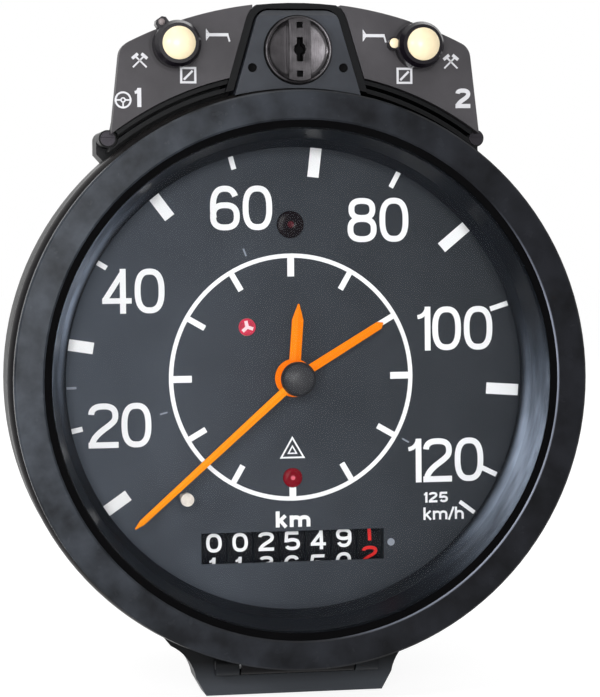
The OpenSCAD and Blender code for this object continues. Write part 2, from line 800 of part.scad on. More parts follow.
module dial_plate() {
    color("#3c4148") difference() {
        ring(0, pan_flange_r, dial_back_f, dial_f);
        slab(dial_back_f - over, dial_f + over) {
            translate([-window_half, -counter_drop - window_h / 2]) square([2 * window_half, window_h]);
            circle(arbor_hole_r + 0.2);
            translate(upper_lens_at) circle(upper_lens_r + 0.05);
            translate(lower_lens_at) circle(lower_lens_r + 0.05);
            translate(indicator_at) circle(indicator_r + 0.1);
            translate(clock_point(stop_at[0], stop_at[1])) circle(stop_pin_r + 0.05);
        }
        round_places(4, 45) bar(1.35, dial_back_f - over, dial_f + over, [0, screw_circle_r]);
    }
}

// Printed bar on the dial at a clock angle, between two radii
module dial_bar(a, r0, r1, w)
    rotate(-a) translate([-w / 2, r0]) square([w, r1 - r0]);

// Clock angle of a speed on the scale
function at_speed(v) = scale_zero + deg_per_kmh * v;

module dial_scale() {
    scale_r = ledge_r - 0.5;
    color("#e8eaee") slab(dial_f, dial_f + 0.12) {
        difference() {
            circle(clock_ring_r + clock_ring_w / 2);
            circle(clock_ring_r - clock_ring_w / 2);
        }
        difference() {
            for (h = [1 : 12]) dial_bar(30 * h, clock_ring_r - 5.8, clock_ring_r, h % 3 == 0 ? 1.9 : 1.6);
            translate(lower_lens_at) circle(lower_lens_r + 0.1);
        }
        for (v = [10 : 20 : speed_top]) dial_bar(at_speed(v), scale_r - 9.3, scale_r, 3.2);
        for (v = [20 : 20 : speed_top]) dial_bar(at_speed(v), scale_r - 5.3, scale_r, 1.4);
        dial_bar(at_speed(speed_top), scale_r - 5.3, scale_r, 1.1);
    }
}

// Lens with a flange behind the dial and a low dome in front of it
module lens(at, r) {
    bar(r + 0.7, dial_back_f - 0.8, dial_back_f, at);
    bar(r, dial_back_f, dial_f + 0.3, at);
    translate([at[0], -dial_f - 0.3, at[1]]) rotate([90, 0, 0]) cylinder(r1 = r, r2 = r - 0.9, h = 0.5);
}

module signal_lenses() {
    color("#8c0f14") {
        lens(upper_lens_at, upper_lens_r);
        lens(lower_lens_at, lower_lens_r);
    }
}

module stop_peg() {
    at = clock_point(stop_at[0], stop_at[1]);
    color("#f2efe6") {
        bar(stop_pin_r, dial_back_f - 1, pointer_f, at);
        bar(1.8, pointer_f - hand_t - 1.4, pointer_f + 0.5, at);
    }
}

module lock_plate() {
    color("#4b5058") difference() {
        slab(base_f + 1, lock_face_f) lock_outline();
        slab(base_f, ear_f) {
            lock_outline(lock_wall, neck_r);
            circle(rim_r + 0.1);
        }
        bar(rotor_r + 0.3, ear_f - over, lock_face_f + over, [0, lock_z]);
        both_sides() bar(dimple_r, lock_face_f - 0.6, lock_face_f + over, dimple_at);
        translate([-lock_half_w, -lock_face_f, lock_top - lock_slope[1]])
            rotate([-atan2(lock_slope[0], lock_slope[1]), 0, 0])
                translate([0, -3, -1]) cube([2 * lock_half_w, 3, 6]);
    }
}

module lid_pan() {
    color("#6d7074") difference() {
        union() {
            ring(pan_r - 3, pan_flange_r, pan_flange_f, dial_back_f);
            translate([0, 0, -pan_drop]) ring(0, pan_r, pan_back_f, pan_flange_f + over / 2);
            for (side = [-1, 1]) translate([side * (separator_ear_r - 1), 0, -pan_drop])
                slab(separator_f, pan_back_f) square([2, 9], center = true);
        }
        translate([0, 0, -pan_drop]) difference() {
            ring(0, pan_r - pan_wall, pan_floor_f, dial_back_f + over);
            translate([0, 0, pan_drop]) ring(0, spindle_r + 4, pan_floor_f - over, movement_back_f - 1);
        }
        bar(spindle_r + run_fit, pan_back_f - over, dial_f);
        round_places(4, 45) bar(1.35, pan_flange_f - over, dial_f + over, [0, screw_circle_r]);
    }
}

module pan_screws() {
    color("#9a9b9d") round_places(4, 45) translate([0, 0, screw_circle_r])
        slotted_screw(1.7, 1.2, 1.2, pan_flange_f, dial_f + 1.4, 0.6);
}

module clock_movement() {
    color("#a98f4e") difference() {
        union() {
            ring(0, movement_r, movement_back_f + 4, dial_back_f - 0.1);
            ring(0, movement_r - 4, movement_back_f, movement_back_f + 5);
        }
        bar(arbor_hole_r, hour_pipe_back_f - 0.3, dial_f);
        bar(minute_pipe[1] + 0.1, minute_pipe_back_f - 0.3, dial_f);
        bar(pointer_shaft_r + 0.1, pointer_back_f - 0.3, dial_f);
        bar(0.85, dial_back_f - 4.3, dial_f, indicator_at);
    }
}

module counter_frame() {
    z0 = counter_plate_h;
    color("#9fa2a5") {
        for (side = [-1, 1]) translate([side * (counter_plate_x + counter_plate_t / 2), 0, -counter_drop])
            translate([-counter_plate_t / 2, -dial_back_f + 0.05, -z0])
                cube([counter_plate_t, dial_back_f - counter_f + 8, 2 * z0]);
        cross_bar(axle_r, -counter_plate_x - counter_plate_t, counter_plate_x + counter_plate_t,
            counter_f, -counter_drop);
    }
}

// Number drum k, counted from the left: rim, web and hub as one moulding
module counter_drum(k) {
    x = (k - (drums + 1) / 2) * drum_pitch;
    translate([x, -counter_f, -counter_drop]) rotate([0, 90, 0]) rotate_extrude() polygon([
        [axle_r + run_fit, -drum_w / 2], [axle_r + 1.6, -drum_w / 2], [axle_r + 1.6, -0.7],
        [drum_r - 2, -0.7], [drum_r - 2, -drum_w / 2], [drum_r, -drum_w / 2], [drum_r, drum_w / 2],
        [drum_r - 2, drum_w / 2], [drum_r - 2, 0.7], [axle_r + 1.6, 0.7], [axle_r + 1.6, drum_w / 2],
        [axle_r + run_fit, drum_w / 2]]);
}

module counter_drum_1() color("#17181a") counter_drum(1);
module counter_drum_2() color("#17181a") counter_drum(2);
module counter_drum_3() color("#17181a") counter_drum(3);
module counter_drum_4() color("#17181a") counter_drum(4);
module counter_drum_5() color("#17181a") counter_drum(5);
module counter_drum_6() color("#17181a") counter_drum(6);
module counter_drum_7() color("#17181a") counter_drum(7);

module separator_plate() {
    color("#b8babc") difference() {
        slab(separator_f - separator_t, separator_f) {
            circle(chart_r - 1);
            translate([-separator_ear_r, -pan_drop - 4]) square([2 * separator_ear_r, 8]);
        }
        bar(spindle_r + 5, separator_f - 2, separator_f + over);
        slab(separator_f - 2, separator_f + over)
            translate([-4, guide_low + 6]) square([8, guide_high - guide_low - 12]);
    }
}

module lock_rotor() {
    dish = 1.4;
    color("#33353a") translate([0, 0, lock_z]) difference() {
        union() {
            bar(rotor_r, rotor_back_f, rotor_f);
            bar(lock_shaft_r, cam_back_f + cam_t, rotor_back_f);
            slab(rotor_f - over, grip_f) intersection() {
                circle(rotor_r - 0.2);
                square([grip_w, 2 * rotor_r], center = true);
            }
        }
        both_sides() slab(rotor_f - dish, grip_f + over) intersection() {
            circle(rotor_r - 1);
            translate([grip_w / 2, -rotor_r]) square([rotor_r, 2 * rotor_r]);
        }
        slab(grip_f - 5, grip_f + over) {
            square([1.5, 6.2], center = true);
            circle(1.5);
            for (z = [-1, 1]) translate([0, z * (rotor_r - 2.5)]) square(1.5, center = true);
        }
    }
}

module lock_cam() {
    color("#a9abad") translate([0, 0, lock_z]) slab(cam_back_f, cam_back_f + cam_t) {
        circle(cam_hub_r);
        translate([-cam_len, -cam_w / 2]) square([cam_len, cam_w]);
    }
}

// Black knob body with its nib, at its rest angle, and its shaft
module mode_knob(side, rest) {
    color("#141316") translate([side * knob_x, 0, knob_z]) clockwise(rest) {
        turned() polygon([[0, knob_foot_f], [knob_r, knob_foot_f], [knob_r, knob_top_f - 2],
            [knob_r - 0.9, knob_top_f], [0, knob_top_f]]);
        bar(knob_shaft_r, switch_back_f + 2.4, knob_foot_f);
        slab(knob_foot_f, knob_foot_f + nib_h) polygon([[-nib_w / 2, 0], [nib_w / 2, 0],
            [nib_w / 2, nib_reach - 0.8], [nib_w / 2 - 0.8, nib_reach], [0.8 - nib_w / 2, nib_reach],
            [-nib_w / 2, nib_reach - 0.8]]);
    }
}

// Cream cap on the knob, and the cream dot on its nib
module mode_cap(side, rest) {
    color("#f3ead0") translate([side * knob_x, 0, knob_z]) clockwise(rest) {
        intersection() {
            bar(cap_r, knob_top_f, knob_top_f + cap_h);
            translate([0, cap_ball_r - knob_top_f - cap_h, 0]) sphere(cap_ball_r);
        }
        bar(dot_r, knob_foot_f + nib_h, knob_foot_f + nib_h + 0.4, [0, dot_at]);
    }
}

module mode_knob_left() mode_knob(-1, knob_rest_left);
module mode_cap_left() mode_cap(-1, knob_rest_left);
module mode_knob_right() mode_knob(1, knob_rest_right);
module mode_cap_right() mode_cap(1, knob_rest_right);

// Hand blade along the top, from the hub to its tip
module blade(length, root_w, tip_w, point)
    polygon([[-root_w / 2, 0], [root_w / 2, 0], [tip_w / 2, length - point], [0.15, length],
        [-0.15, length], [-tip_w / 2, length - point]]);

module hour_hand() {
    color("#ff8c00") clockwise(hour_angle) difference() {
        union() {
            slab(hour_f - hand_t, hour_f) {
                circle(5.3);
                blade(hour_len, 3.2, 3.2, 4.5);
            }
            bar(hour_pipe[1], hour_pipe_back_f, hour_f);
        }
        bar(hour_pipe[0], hour_pipe_back_f - over, hour_f + over);
    }
}

module minute_hand() {
    color("#ff8c00") clockwise(minute_angle) difference() {
        union() {
            slab(minute_f - hand_t, minute_f) {
                circle(4);
                blade(minute_len, 2.5, 2.2, 1.2);
            }
            bar(minute_pipe[1], minute_pipe_back_f, minute_f);
        }
        bar(minute_pipe[0], minute_pipe_back_f - over, minute_f + over);
    }
}

module speed_pointer() {
    color("#ffa532") clockwise(pointer_angle) {
        slab(pointer_f - hand_t, pointer_f) {
            circle(hub_r - 0.8);
            blade(pointer_len, 2.3, 1.6, 2.5);
        }
        bar(pointer_shaft_r, pointer_back_f, pointer_f);
    }
}

module hub_cap() {
    color("#1b1c1f") intersection() {
        bar(hub_r, pointer_f, pointer_f + hub_h);
        translate([0, hub_ball_r - pointer_f - hub_h, 0]) sphere(hub_ball_r);
    }
}

module run_indicator() {
    color("#c8262c") {
        bar(indicator_r, dial_f - 0.7, dial_f - 0.2, indicator_at);
        bar(0.8, dial_back_f - 4, dial_f - 0.7, indicator_at);
    }
}

module chart_spindle() {
    color("#b8a05a") {
        bar(spindle_r, clip_f - clip_h + 0.4, movement_back_f - 0.3);
        bar(spindle_r + 5, chart_front_f, chart_front_f + collar_t);
        bar(spindle_r + 3, chart_rear_f, chart_front_f - chart_t);
    }
}

module chart(front) {
    color("#f1efe6") ring(spindle_r + 0.05, chart_r, front - chart_t, front);
}

module chart_front() chart(chart_front_f);
module chart_rear() chart(chart_rear_f);

module chart_clip() {
    color("#2e6f4e") difference() {
        union() {
            ring(0, clip_r, clip_f - clip_h, clip_f);
            round_places(12) bar(0.9, clip_f - clip_h, clip_f, [0, clip_r - 0.1]);
        }
        bar(spindle_r + 0.02, clip_f - clip_h + 0.3, clip_f + over);
    }
}

front_frame();
mounting_gasket();
cheek_left();
cheek_right();
corner_screws();
barrel();
rear_cover();
rear_screws();
connector_blocks();
connector_blades();
clamp_studs();
ground_stud();
recorder_plate();
plate_screws();
stylus_guide();
lock_keeper();
hinge_pin();
mode_switches();
lid_ring();
bezel_ring();
glass_seal();
glass();
inner_wall();
dial_plate();
dial_scale();
signal_lenses();
stop_peg();
lock_plate();
lid_pan();
pan_screws();
clock_movement();
counter_frame();
separator_plate();
lock_rotor();
lock_cam();
mode_knob_left();
mode_cap_left();
mode_knob_right();
mode_cap_right();
speed_pointer();
hub_cap();
minute_hand();
hour_hand();
run_indicator();
counter_drum_1();
counter_drum_2();
counter_drum_3();
counter_drum_4();
counter_drum_5();
counter_drum_6();
counter_drum_7();
chart_spindle();
chart_front();
chart_rear();
chart_clip();
speed_stylus();
distance_stylus();
activity_stylus();
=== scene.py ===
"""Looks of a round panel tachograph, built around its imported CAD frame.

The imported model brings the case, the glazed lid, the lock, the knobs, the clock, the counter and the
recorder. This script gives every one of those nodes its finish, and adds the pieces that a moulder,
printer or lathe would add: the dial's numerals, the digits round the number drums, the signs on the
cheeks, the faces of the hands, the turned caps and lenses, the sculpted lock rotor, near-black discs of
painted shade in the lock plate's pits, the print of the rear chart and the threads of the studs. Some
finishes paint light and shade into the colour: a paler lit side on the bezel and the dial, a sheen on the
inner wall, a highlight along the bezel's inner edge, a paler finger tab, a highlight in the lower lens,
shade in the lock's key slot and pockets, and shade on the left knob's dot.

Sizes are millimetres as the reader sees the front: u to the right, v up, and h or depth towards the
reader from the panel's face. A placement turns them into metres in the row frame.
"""

import json
import logging
import math
from collections.abc import Callable, Iterable, Sequence
from dataclasses import dataclass, field
from enum import Enum
from functools import cached_property, partial, reduce

import bmesh
import bpy
import numpy as np
from mathutils import Matrix, Vector

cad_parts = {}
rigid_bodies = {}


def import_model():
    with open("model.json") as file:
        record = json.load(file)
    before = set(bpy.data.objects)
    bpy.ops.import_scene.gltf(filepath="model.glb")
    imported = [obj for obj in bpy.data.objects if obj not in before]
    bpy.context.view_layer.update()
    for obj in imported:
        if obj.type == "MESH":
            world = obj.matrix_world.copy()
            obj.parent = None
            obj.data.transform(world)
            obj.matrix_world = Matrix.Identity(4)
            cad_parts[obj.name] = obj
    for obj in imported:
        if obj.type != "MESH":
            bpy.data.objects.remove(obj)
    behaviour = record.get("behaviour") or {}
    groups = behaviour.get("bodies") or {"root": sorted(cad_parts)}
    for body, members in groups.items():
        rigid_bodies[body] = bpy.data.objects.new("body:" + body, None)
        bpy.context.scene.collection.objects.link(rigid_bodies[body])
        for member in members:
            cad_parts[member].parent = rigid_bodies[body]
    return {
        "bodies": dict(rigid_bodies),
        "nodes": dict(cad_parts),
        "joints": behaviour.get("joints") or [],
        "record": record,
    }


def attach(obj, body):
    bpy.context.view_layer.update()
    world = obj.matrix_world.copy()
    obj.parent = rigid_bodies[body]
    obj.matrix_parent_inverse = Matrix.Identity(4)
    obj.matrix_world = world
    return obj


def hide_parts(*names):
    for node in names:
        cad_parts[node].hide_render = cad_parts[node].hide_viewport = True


Array = np.ndarray
Point = tuple[float, float]
Triple = tuple[float, float, float]
Placement = Callable[[Array], Array]
Socket = bpy.types.NodeSocket
Feed = Socket | float | Sequence[float]

LOG = logging.getLogger("tachograph")
MM = 0.001
THIRDS = (0, 120, 240)

# Depths of the dial's and the cheeks' faces
DIAL_DEPTH = 12.0
CHEEK_DEPTH = 24.8

# Painted light, painted sheen, painted highlight and dust: places in metres, display colours and clock
# angles. Two numbers are where a share is nil and full.
# Painted light: the side towards a clock angle is paler
PAINTED_LIGHT_REACH = (-0.076, 0.076)
# Painted sheen: two pale, opposite lobes on the inner wall
PAINTED_SHEEN_TONE, PAINTED_SHEEN_ANGLE, PAINTED_SHEEN_POWER, PAINTED_SHEEN_RING = (148, 160, 178), 290.0, 16.0, (0.064, 0.0656)
# Painted highlight along the bezel's inner edge, on one side
PAINTED_HIGHLIGHT_TONE, PAINTED_HIGHLIGHT_ANGLE, PAINTED_HIGHLIGHT_COSINES = (150, 156, 172), 112.0, (0.4, 1.0)
PAINTED_HIGHLIGHT_RING = (0.07125, 0.0708)
DUST_TONE, DUST_SLOPES = (150, 146, 138), (0.3, 1.0)
# Painted light: a paler tone down the finger tab
PAINTED_TAB_TONE, PAINTED_TAB_HEIGHTS = (78, 82, 88), (-0.079, -0.086)

# Noises: features along a metre, octaves, and the stretch of each axis where there is one
OCTAVES, FINE_OCTAVES, BRUSH_OCTAVES = 4.0, 5.0, 2.0
PLAIN, BRUSH_STRETCH = (1.0, 1.0, 1.0), (6.0, 6.0, 0.08)
ROUGHNESS_NOISE = (240.0, OCTAVES)
# These two noises break the painted sheen and the painted edge highlight
PAINTED_SHEEN_NOISE = (90.0, 3.0, (1.0, 4.0, 1.0))
EDGE_NOISE = (45.0, 3.0)
DUST_NOISE = (420.0, FINE_OCTAVES)

# Lettering: shares of the height, then of the weight, then of the digits' width
ONE_REACH = 0.235
LOW = 0.72
GAP = 0.55
WIDTHS = {"k": 0.8, "m": 1.4, "h": 0.86, "/": 0.5}

# Surface: a share of the mean roughness, a height in metres, and the ends of the colour ramp
ROUGHNESS_SPREAD = 0.18
RELIEF_HEIGHT = 0.00008
COAT_ROUGHNESS = 0.12
RAMP_ENDS = (0.32, 0.68)

# Making of meshes: metres between points that merge, and the rest in millimetres
MERGED = 2e-8
REPEATED = 1e-4
LAYER = 0.003
MITRE_LIMIT = 0.55


# Finishes


class Grain(Enum):
    """The kinds of surface, each with the features or the tool marks of its relief along a metre."""

    PAINT = 1300.0
    MOULDED = 2600.0
    GLOSS = 260.0
    RUBBER = 1800.0
    BRUSHED = 900.0
    TURNED = 2500.0
    INK = 2200.0
    CARD = 3200.0
    CLEAR = 0.0


def linear(colour: Triple) -> tuple[float, float, float, float]:
    """Turns a display colour into linear light, by the standard curve of displays.

    Args:
        colour: display values from 0 to 255.

    Returns:
        The colour as Blender's sockets take it, opaque.
    """
    display = np.array(colour, float) / 255.0
    light = np.where(display <= 0.04045, display / 12.92, ((display + 0.055) / 1.055) ** 2.4)
    return (*light.tolist(), 1.0)


@dataclass
class Wiring:
    """A node tree, with short ways to add what the finishes and the studio are made of.

    Args:
        tree: the node tree.
    """

    tree: bpy.types.NodeTree

    @cached_property
    def place(self) -> Socket:
        """Returns the Object coordinates."""
        return self.add("TexCoord", "Object", {})

    @cached_property
    def flat(self) -> Socket:
        """Returns the Object coordinates without the depth."""
        return self.vector("MULTIPLY", "Vector", self.place, (1, 0, 1))

    @cached_property
    def radius(self) -> Socket:
        """Returns the distance from the dial axis in metres."""
        return self.vector("LENGTH", "Value", self.flat)

    def feed(self, node: bpy.types.Node, feeds: dict[str | int, Feed]) -> None:
        """Links or sets a node's inputs.

        Args:
            node: the node.
            feeds: a socket or a value for each input, by its name or number.
        """
        for name, feed in feeds.items():
            if isinstance(feed, Socket):
                self.tree.links.new(feed, node.inputs[name])
            else:
                node.inputs[name].default_value = feed

    def add(self, kind: str, out: str, feeds: dict[str | int, Feed], **choices: object) -> Socket:
        """Adds a node.

        Args:
            kind: its type, without Blender's prefix.
            out: the output that is wanted.
            feeds: what its inputs get.
            choices: its own settings.

        Returns:
            The output's socket.
        """
        node = self.tree.nodes.new(f"ShaderNode{kind}")
        for name, choice in choices.items():
            setattr(node, name, choice)
        self.feed(node, feeds)
        return node.outputs[out]

    def calc(self, operation: str, *feeds: Feed, clamp: bool = False) -> Socket:
        """Returns the result of some arithmetic on one or two feeds."""
        return self.add("Math", "Value", dict(enumerate(feeds)), operation=operation, use_clamp=clamp)

    def vector(self, operation: str, out: str, *feeds: Feed) -> Socket:
        """Returns the result of some vector arithmetic on one or two feeds."""
        return self.add("VectorMath", out, dict(enumerate(feeds)), operation=operation)

    def mix(self, share: Feed, low: Feed, high: Feed) -> Socket:
        """Returns a colour between two others."""
        return self.add("Mix", "Result", {"Factor": share, "A": low, "B": high}, data_type="RGBA")

    def product(self, *shares: Feed) -> Socket:
        """Returns the product of some shares, kept within 0 and 1 at each step."""
        return reduce(partial(self.calc, "MULTIPLY", clamp=True), shares)

    def along(self, place: Feed, angle: float) -> Socket:
        """Returns how far a place lies along a clock angle: the dot product with its direction."""
        u, v = clock(1.0, angle)
        return self.vector("DOT_PRODUCT", "Value", place, (u, 0.0, v))

    def towards(self, angle: float) -> Socket:
        """Returns the cosine between the direction from the dial axis and a clock angle."""
        return self.along(self.vector("NORMALIZE", "Vector", self.flat), angle)

    def span(self, value: Feed, ends: Point, kind: str = "SMOOTHSTEP") -> Socket:
        """Returns a share that goes from 0 to 1 between two values and stays level outside them."""
        feeds = {"Value": value, "From Min": ends[0], "From Max": ends[1]}
        return self.add("MapRange", "Result", feeds, interpolation_type=kind)

    def noise(self, scale: float, detail: float, stretch: Triple = PLAIN) -> Socket:
        """Returns a noise with so many features along a metre and octaves, on stretched coordinates."""
        place = self.add("Mapping", "Vector", {"Vector": self.place, "Scale": stretch})
        return self.add("TexNoise", "Fac", {"Vector": place, "Scale": scale, "Detail": detail})

    def ramp(self, share: Socket, low: Array, high: Array) -> Socket:
        """Adds a ramp between two colours over the middle third of a share.

        Args:
            share: socket that picks between them.
            low, high: linear colours at the two ends.

        Returns:
            The colour's socket.
        """
        node = self.tree.nodes.new("ShaderNodeValToRGB")
        for stop, place, colour in zip(node.color_ramp.elements, RAMP_ENDS, (low, high)):
            stop.position, stop.color = place, (*colour, 1.0)
        self.tree.links.new(share, node.inputs["Fac"])
        return node.outputs["Color"]

    def sun(self, angle: float) -> Socket:
        """Returns the painted light's share: the square of the place across the face towards a clock angle.
        """
        return self.calc("POWER", self.span(self.along(self.place, angle), PAINTED_LIGHT_REACH, "LINEAR"), 2.0)

    def fans(self) -> Socket:
        """Returns a painted sheen in two lobes: a power of the unsigned cosine to its angle, broken by a
        noise.
        """
        fans = self.calc("POWER", self.calc("ABSOLUTE", self.towards(PAINTED_SHEEN_ANGLE)), PAINTED_SHEEN_POWER)
        return self.product(fans, self.noise(*PAINTED_SHEEN_NOISE), self.span(self.radius, PAINTED_SHEEN_RING))

    def edge(self) -> Socket:
        """Returns the share of a painted highlight on a ring's thin inner edge, on one side, broken by a
        noise.
        """
        side = self.span(self.towards(PAINTED_HIGHLIGHT_ANGLE), PAINTED_HIGHLIGHT_COSINES)
        return self.product(self.span(self.radius, PAINTED_HIGHLIGHT_RING), self.noise(*EDGE_NOISE), side)

    def dust(self) -> Socket:
        """Returns the share of dust: the normal's upward part, times a broken noise."""
        upward = self.add("SeparateXYZ", "Z", {"Vector": self.add("NewGeometry", "Normal", {})})
        return self.product(self.span(upward, DUST_SLOPES, "LINEAR"), self.noise(*DUST_NOISE))

    def tab(self) -> Socket:
        """Returns the share of painted light, which grows down the finger tab."""
        height = self.add("SeparateXYZ", "Z", {"Vector": self.place})
        return self.span(height, PAINTED_TAB_HEIGHTS, "LINEAR")

    def seen(self) -> Socket:
        """Returns 1 for the rays of the camera, gloss and glass, and 0 for the rest."""
        rays = ("Is Camera Ray", "Is Glossy Ray", "Is Transmission Ray")
        return reduce(partial(self.calc, "ADD", clamp=True), [self.add("LightPath", r, {}) for r in rays])


@dataclass(frozen=True)
class Finish:
    """One finish: a colour with its mottling, wear and painted light, its roughness and its relief.

    Args:
        name: the material's name.
        colour: display colour, 0 to 255.
        grain: the kind of surface.
        roughness: mean roughness.
        metal: 1 for bare metal, 0 for the rest.
        gloss: specular level of the shader.
        mottle: how far the colour drifts over some centimetres, as a share.
        drift: features of that drift along a metre.
        relief: strength of the fine relief.
        dust: share of dust on faces that look up.
        handled: share of painted light, a paler tone down the finger tab at the foot of the frame.
        bleached: painted light, the display colour of the lit side, or none.
        sun_angle: clock angle of that lit side.
        fans: share of a painted sheen, two pale opposite lobes on a ring's wall.
        rubbed: share of a painted highlight, a bright metal tone along the ring's inner edge.
        coat: share of a clear coat.
        alpha: opacity.
    """

    name: str
    colour: Triple
    grain: Grain
    roughness: float
    metal: float = 0.0
    gloss: float = 0.2
    mottle: float = 0.12
    drift: float = 38.0
    relief: float = 0.15
    dust: float = 0.0
    handled: float = 0.0
    bleached: Triple | None = None
    sun_angle: float = 295.0
    fans: float = 0.0
    rubbed: float = 0.0
    coat: float = 0.0
    alpha: float = 1.0

    def material(self) -> bpy.types.Material:
        """Returns the finish as a node material, made once and then shared."""
        known = bpy.data.materials.get(self.name)
        return known if known is not None and known.get("tacho") else self._build()

    def _build(self) -> bpy.types.Material:
        """Builds the node tree: the colour with wear and painted light, a roughness varied by a noise, a
        bump.

        Returns:
            The new material.
        """
        material = bpy.data.materials.new(self.name)
        material["tacho"] = True
        material.use_nodes = True
        wires = Wiring(material.node_tree)
        shader = wires.tree.nodes["Principled BSDF"]
        roughness = {"Value": wires.noise(*ROUGHNESS_NOISE),
                     "To Min": max(0.02, self.roughness * (1 - ROUGHNESS_SPREAD)),
                     "To Max": min(1.0, self.roughness * (1 + ROUGHNESS_SPREAD))}
        wires.feed(shader, {"Metallic": self.metal, "Specular IOR Level": self.gloss,
                            "Coat Weight": self.coat, "Coat Roughness": COAT_ROUGHNESS,
                            "Alpha": self.alpha, "Base Color": self._worn(wires),
                            "Roughness": wires.add("MapRange", "Result", roughness)})
        if self.relief > 0 and self.grain is not Grain.CLEAR:
            bump = {"Strength": self.relief, "Distance": RELIEF_HEIGHT, "Height": self._grained(wires)}
            wires.feed(shader, {"Normal": wires.add("Bump", "Normal", bump)})
        if self.alpha < 1:
            material.surface_render_method = "BLENDED"
        return material

    def _worn(self, wires: Wiring) -> Socket:
        """Adds the colour, mottled by a slow noise, with painted light, painted sheen and highlight, and
        dust.

        Args:
            wires: the material's wiring.

        Returns:
            The colour's socket.
        """
        slow = wires.noise(self.drift, OCTAVES)
        colour = self._mottled(wires, slow, self.colour)
        # Painted light: the lit side's paler colour, mottled alike
        if self.bleached is not None:
            bleached = self._mottled(wires, slow, self.bleached)
            colour = wires.mix(wires.sun(self.sun_angle), colour, bleached)
        # Painted sheen, painted edge highlight, dust, then painted light down the tab
        for share, wear, tone in ((2 * self.fans, wires.fans, PAINTED_SHEEN_TONE),
                                  (2 * self.rubbed, wires.edge, PAINTED_HIGHLIGHT_TONE),
                                  (self.dust, wires.dust, DUST_TONE),
                                  (self.handled, wires.tab, PAINTED_TAB_TONE)):
            if share > 0:
                colour = wires.mix(wires.product(wear(), share), colour, linear(tone))
        return colour

    def _mottled(self, wires: Wiring, slow: Socket, colour: Triple) -> Socket:
        """Returns a display colour, darkened and lightened with a noise by the finish's mottling."""
        mean = np.array(linear(colour)[:3])
        return wires.ramp(slow, mean * (1 - self.mottle), np.minimum(mean * (1 + self.mottle), 1.0))

    def _grained(self, wires: Wiring) -> Socket:
        """Adds the relief of the grain: the sine of the radius for tool marks, a noise for the rest.

        Args:
            wires: the material's wiring.

        Returns:
            The height's socket.
        """
        if self.grain is Grain.TURNED:
            turns = wires.calc("MULTIPLY", wires.radius, 2 * math.pi * self.grain.value)
            return wires.calc("SINE", turns)
        if self.grain is Grain.BRUSHED:
            return wires.noise(self.grain.value, BRUSH_OCTAVES, BRUSH_STRETCH)
        return wires.noise(self.grain.value, FINE_OCTAVES)


def bare(name: str, colour: Triple, grain: Grain, roughness: float, mottle: float = 0.12) -> Finish:
    """Returns the finish of bare metal."""
    return Finish(name, colour, grain, roughness, metal=1.0, gloss=0.5, mottle=mottle)


def printed(name: str, colour: Triple, roughness: float = 0.6, gloss: float = 0.15, mottle: float = 0.05,
            relief: float = 0.03) -> Finish:
    """Returns the finish of screen-printed ink."""
    return Finish(name, colour, Grain.INK, roughness, gloss=gloss, mottle=mottle, relief=relief)


def orange(name: str, colour: Triple, roughness: float) -> Finish:
    """Returns the finish of a hand's bright, matt paint."""
    return Finish(name, colour, Grain.PAINT, roughness, gloss=0.03, mottle=0.05, relief=0.03)


def polished(name: str, colour: Triple, roughness: float, gloss: float, mottle: float = 0.12) -> Finish:
    """Returns the finish of smooth plastic."""
    return Finish(name, colour, Grain.GLOSS, roughness, gloss=gloss, mottle=mottle, relief=0.0)


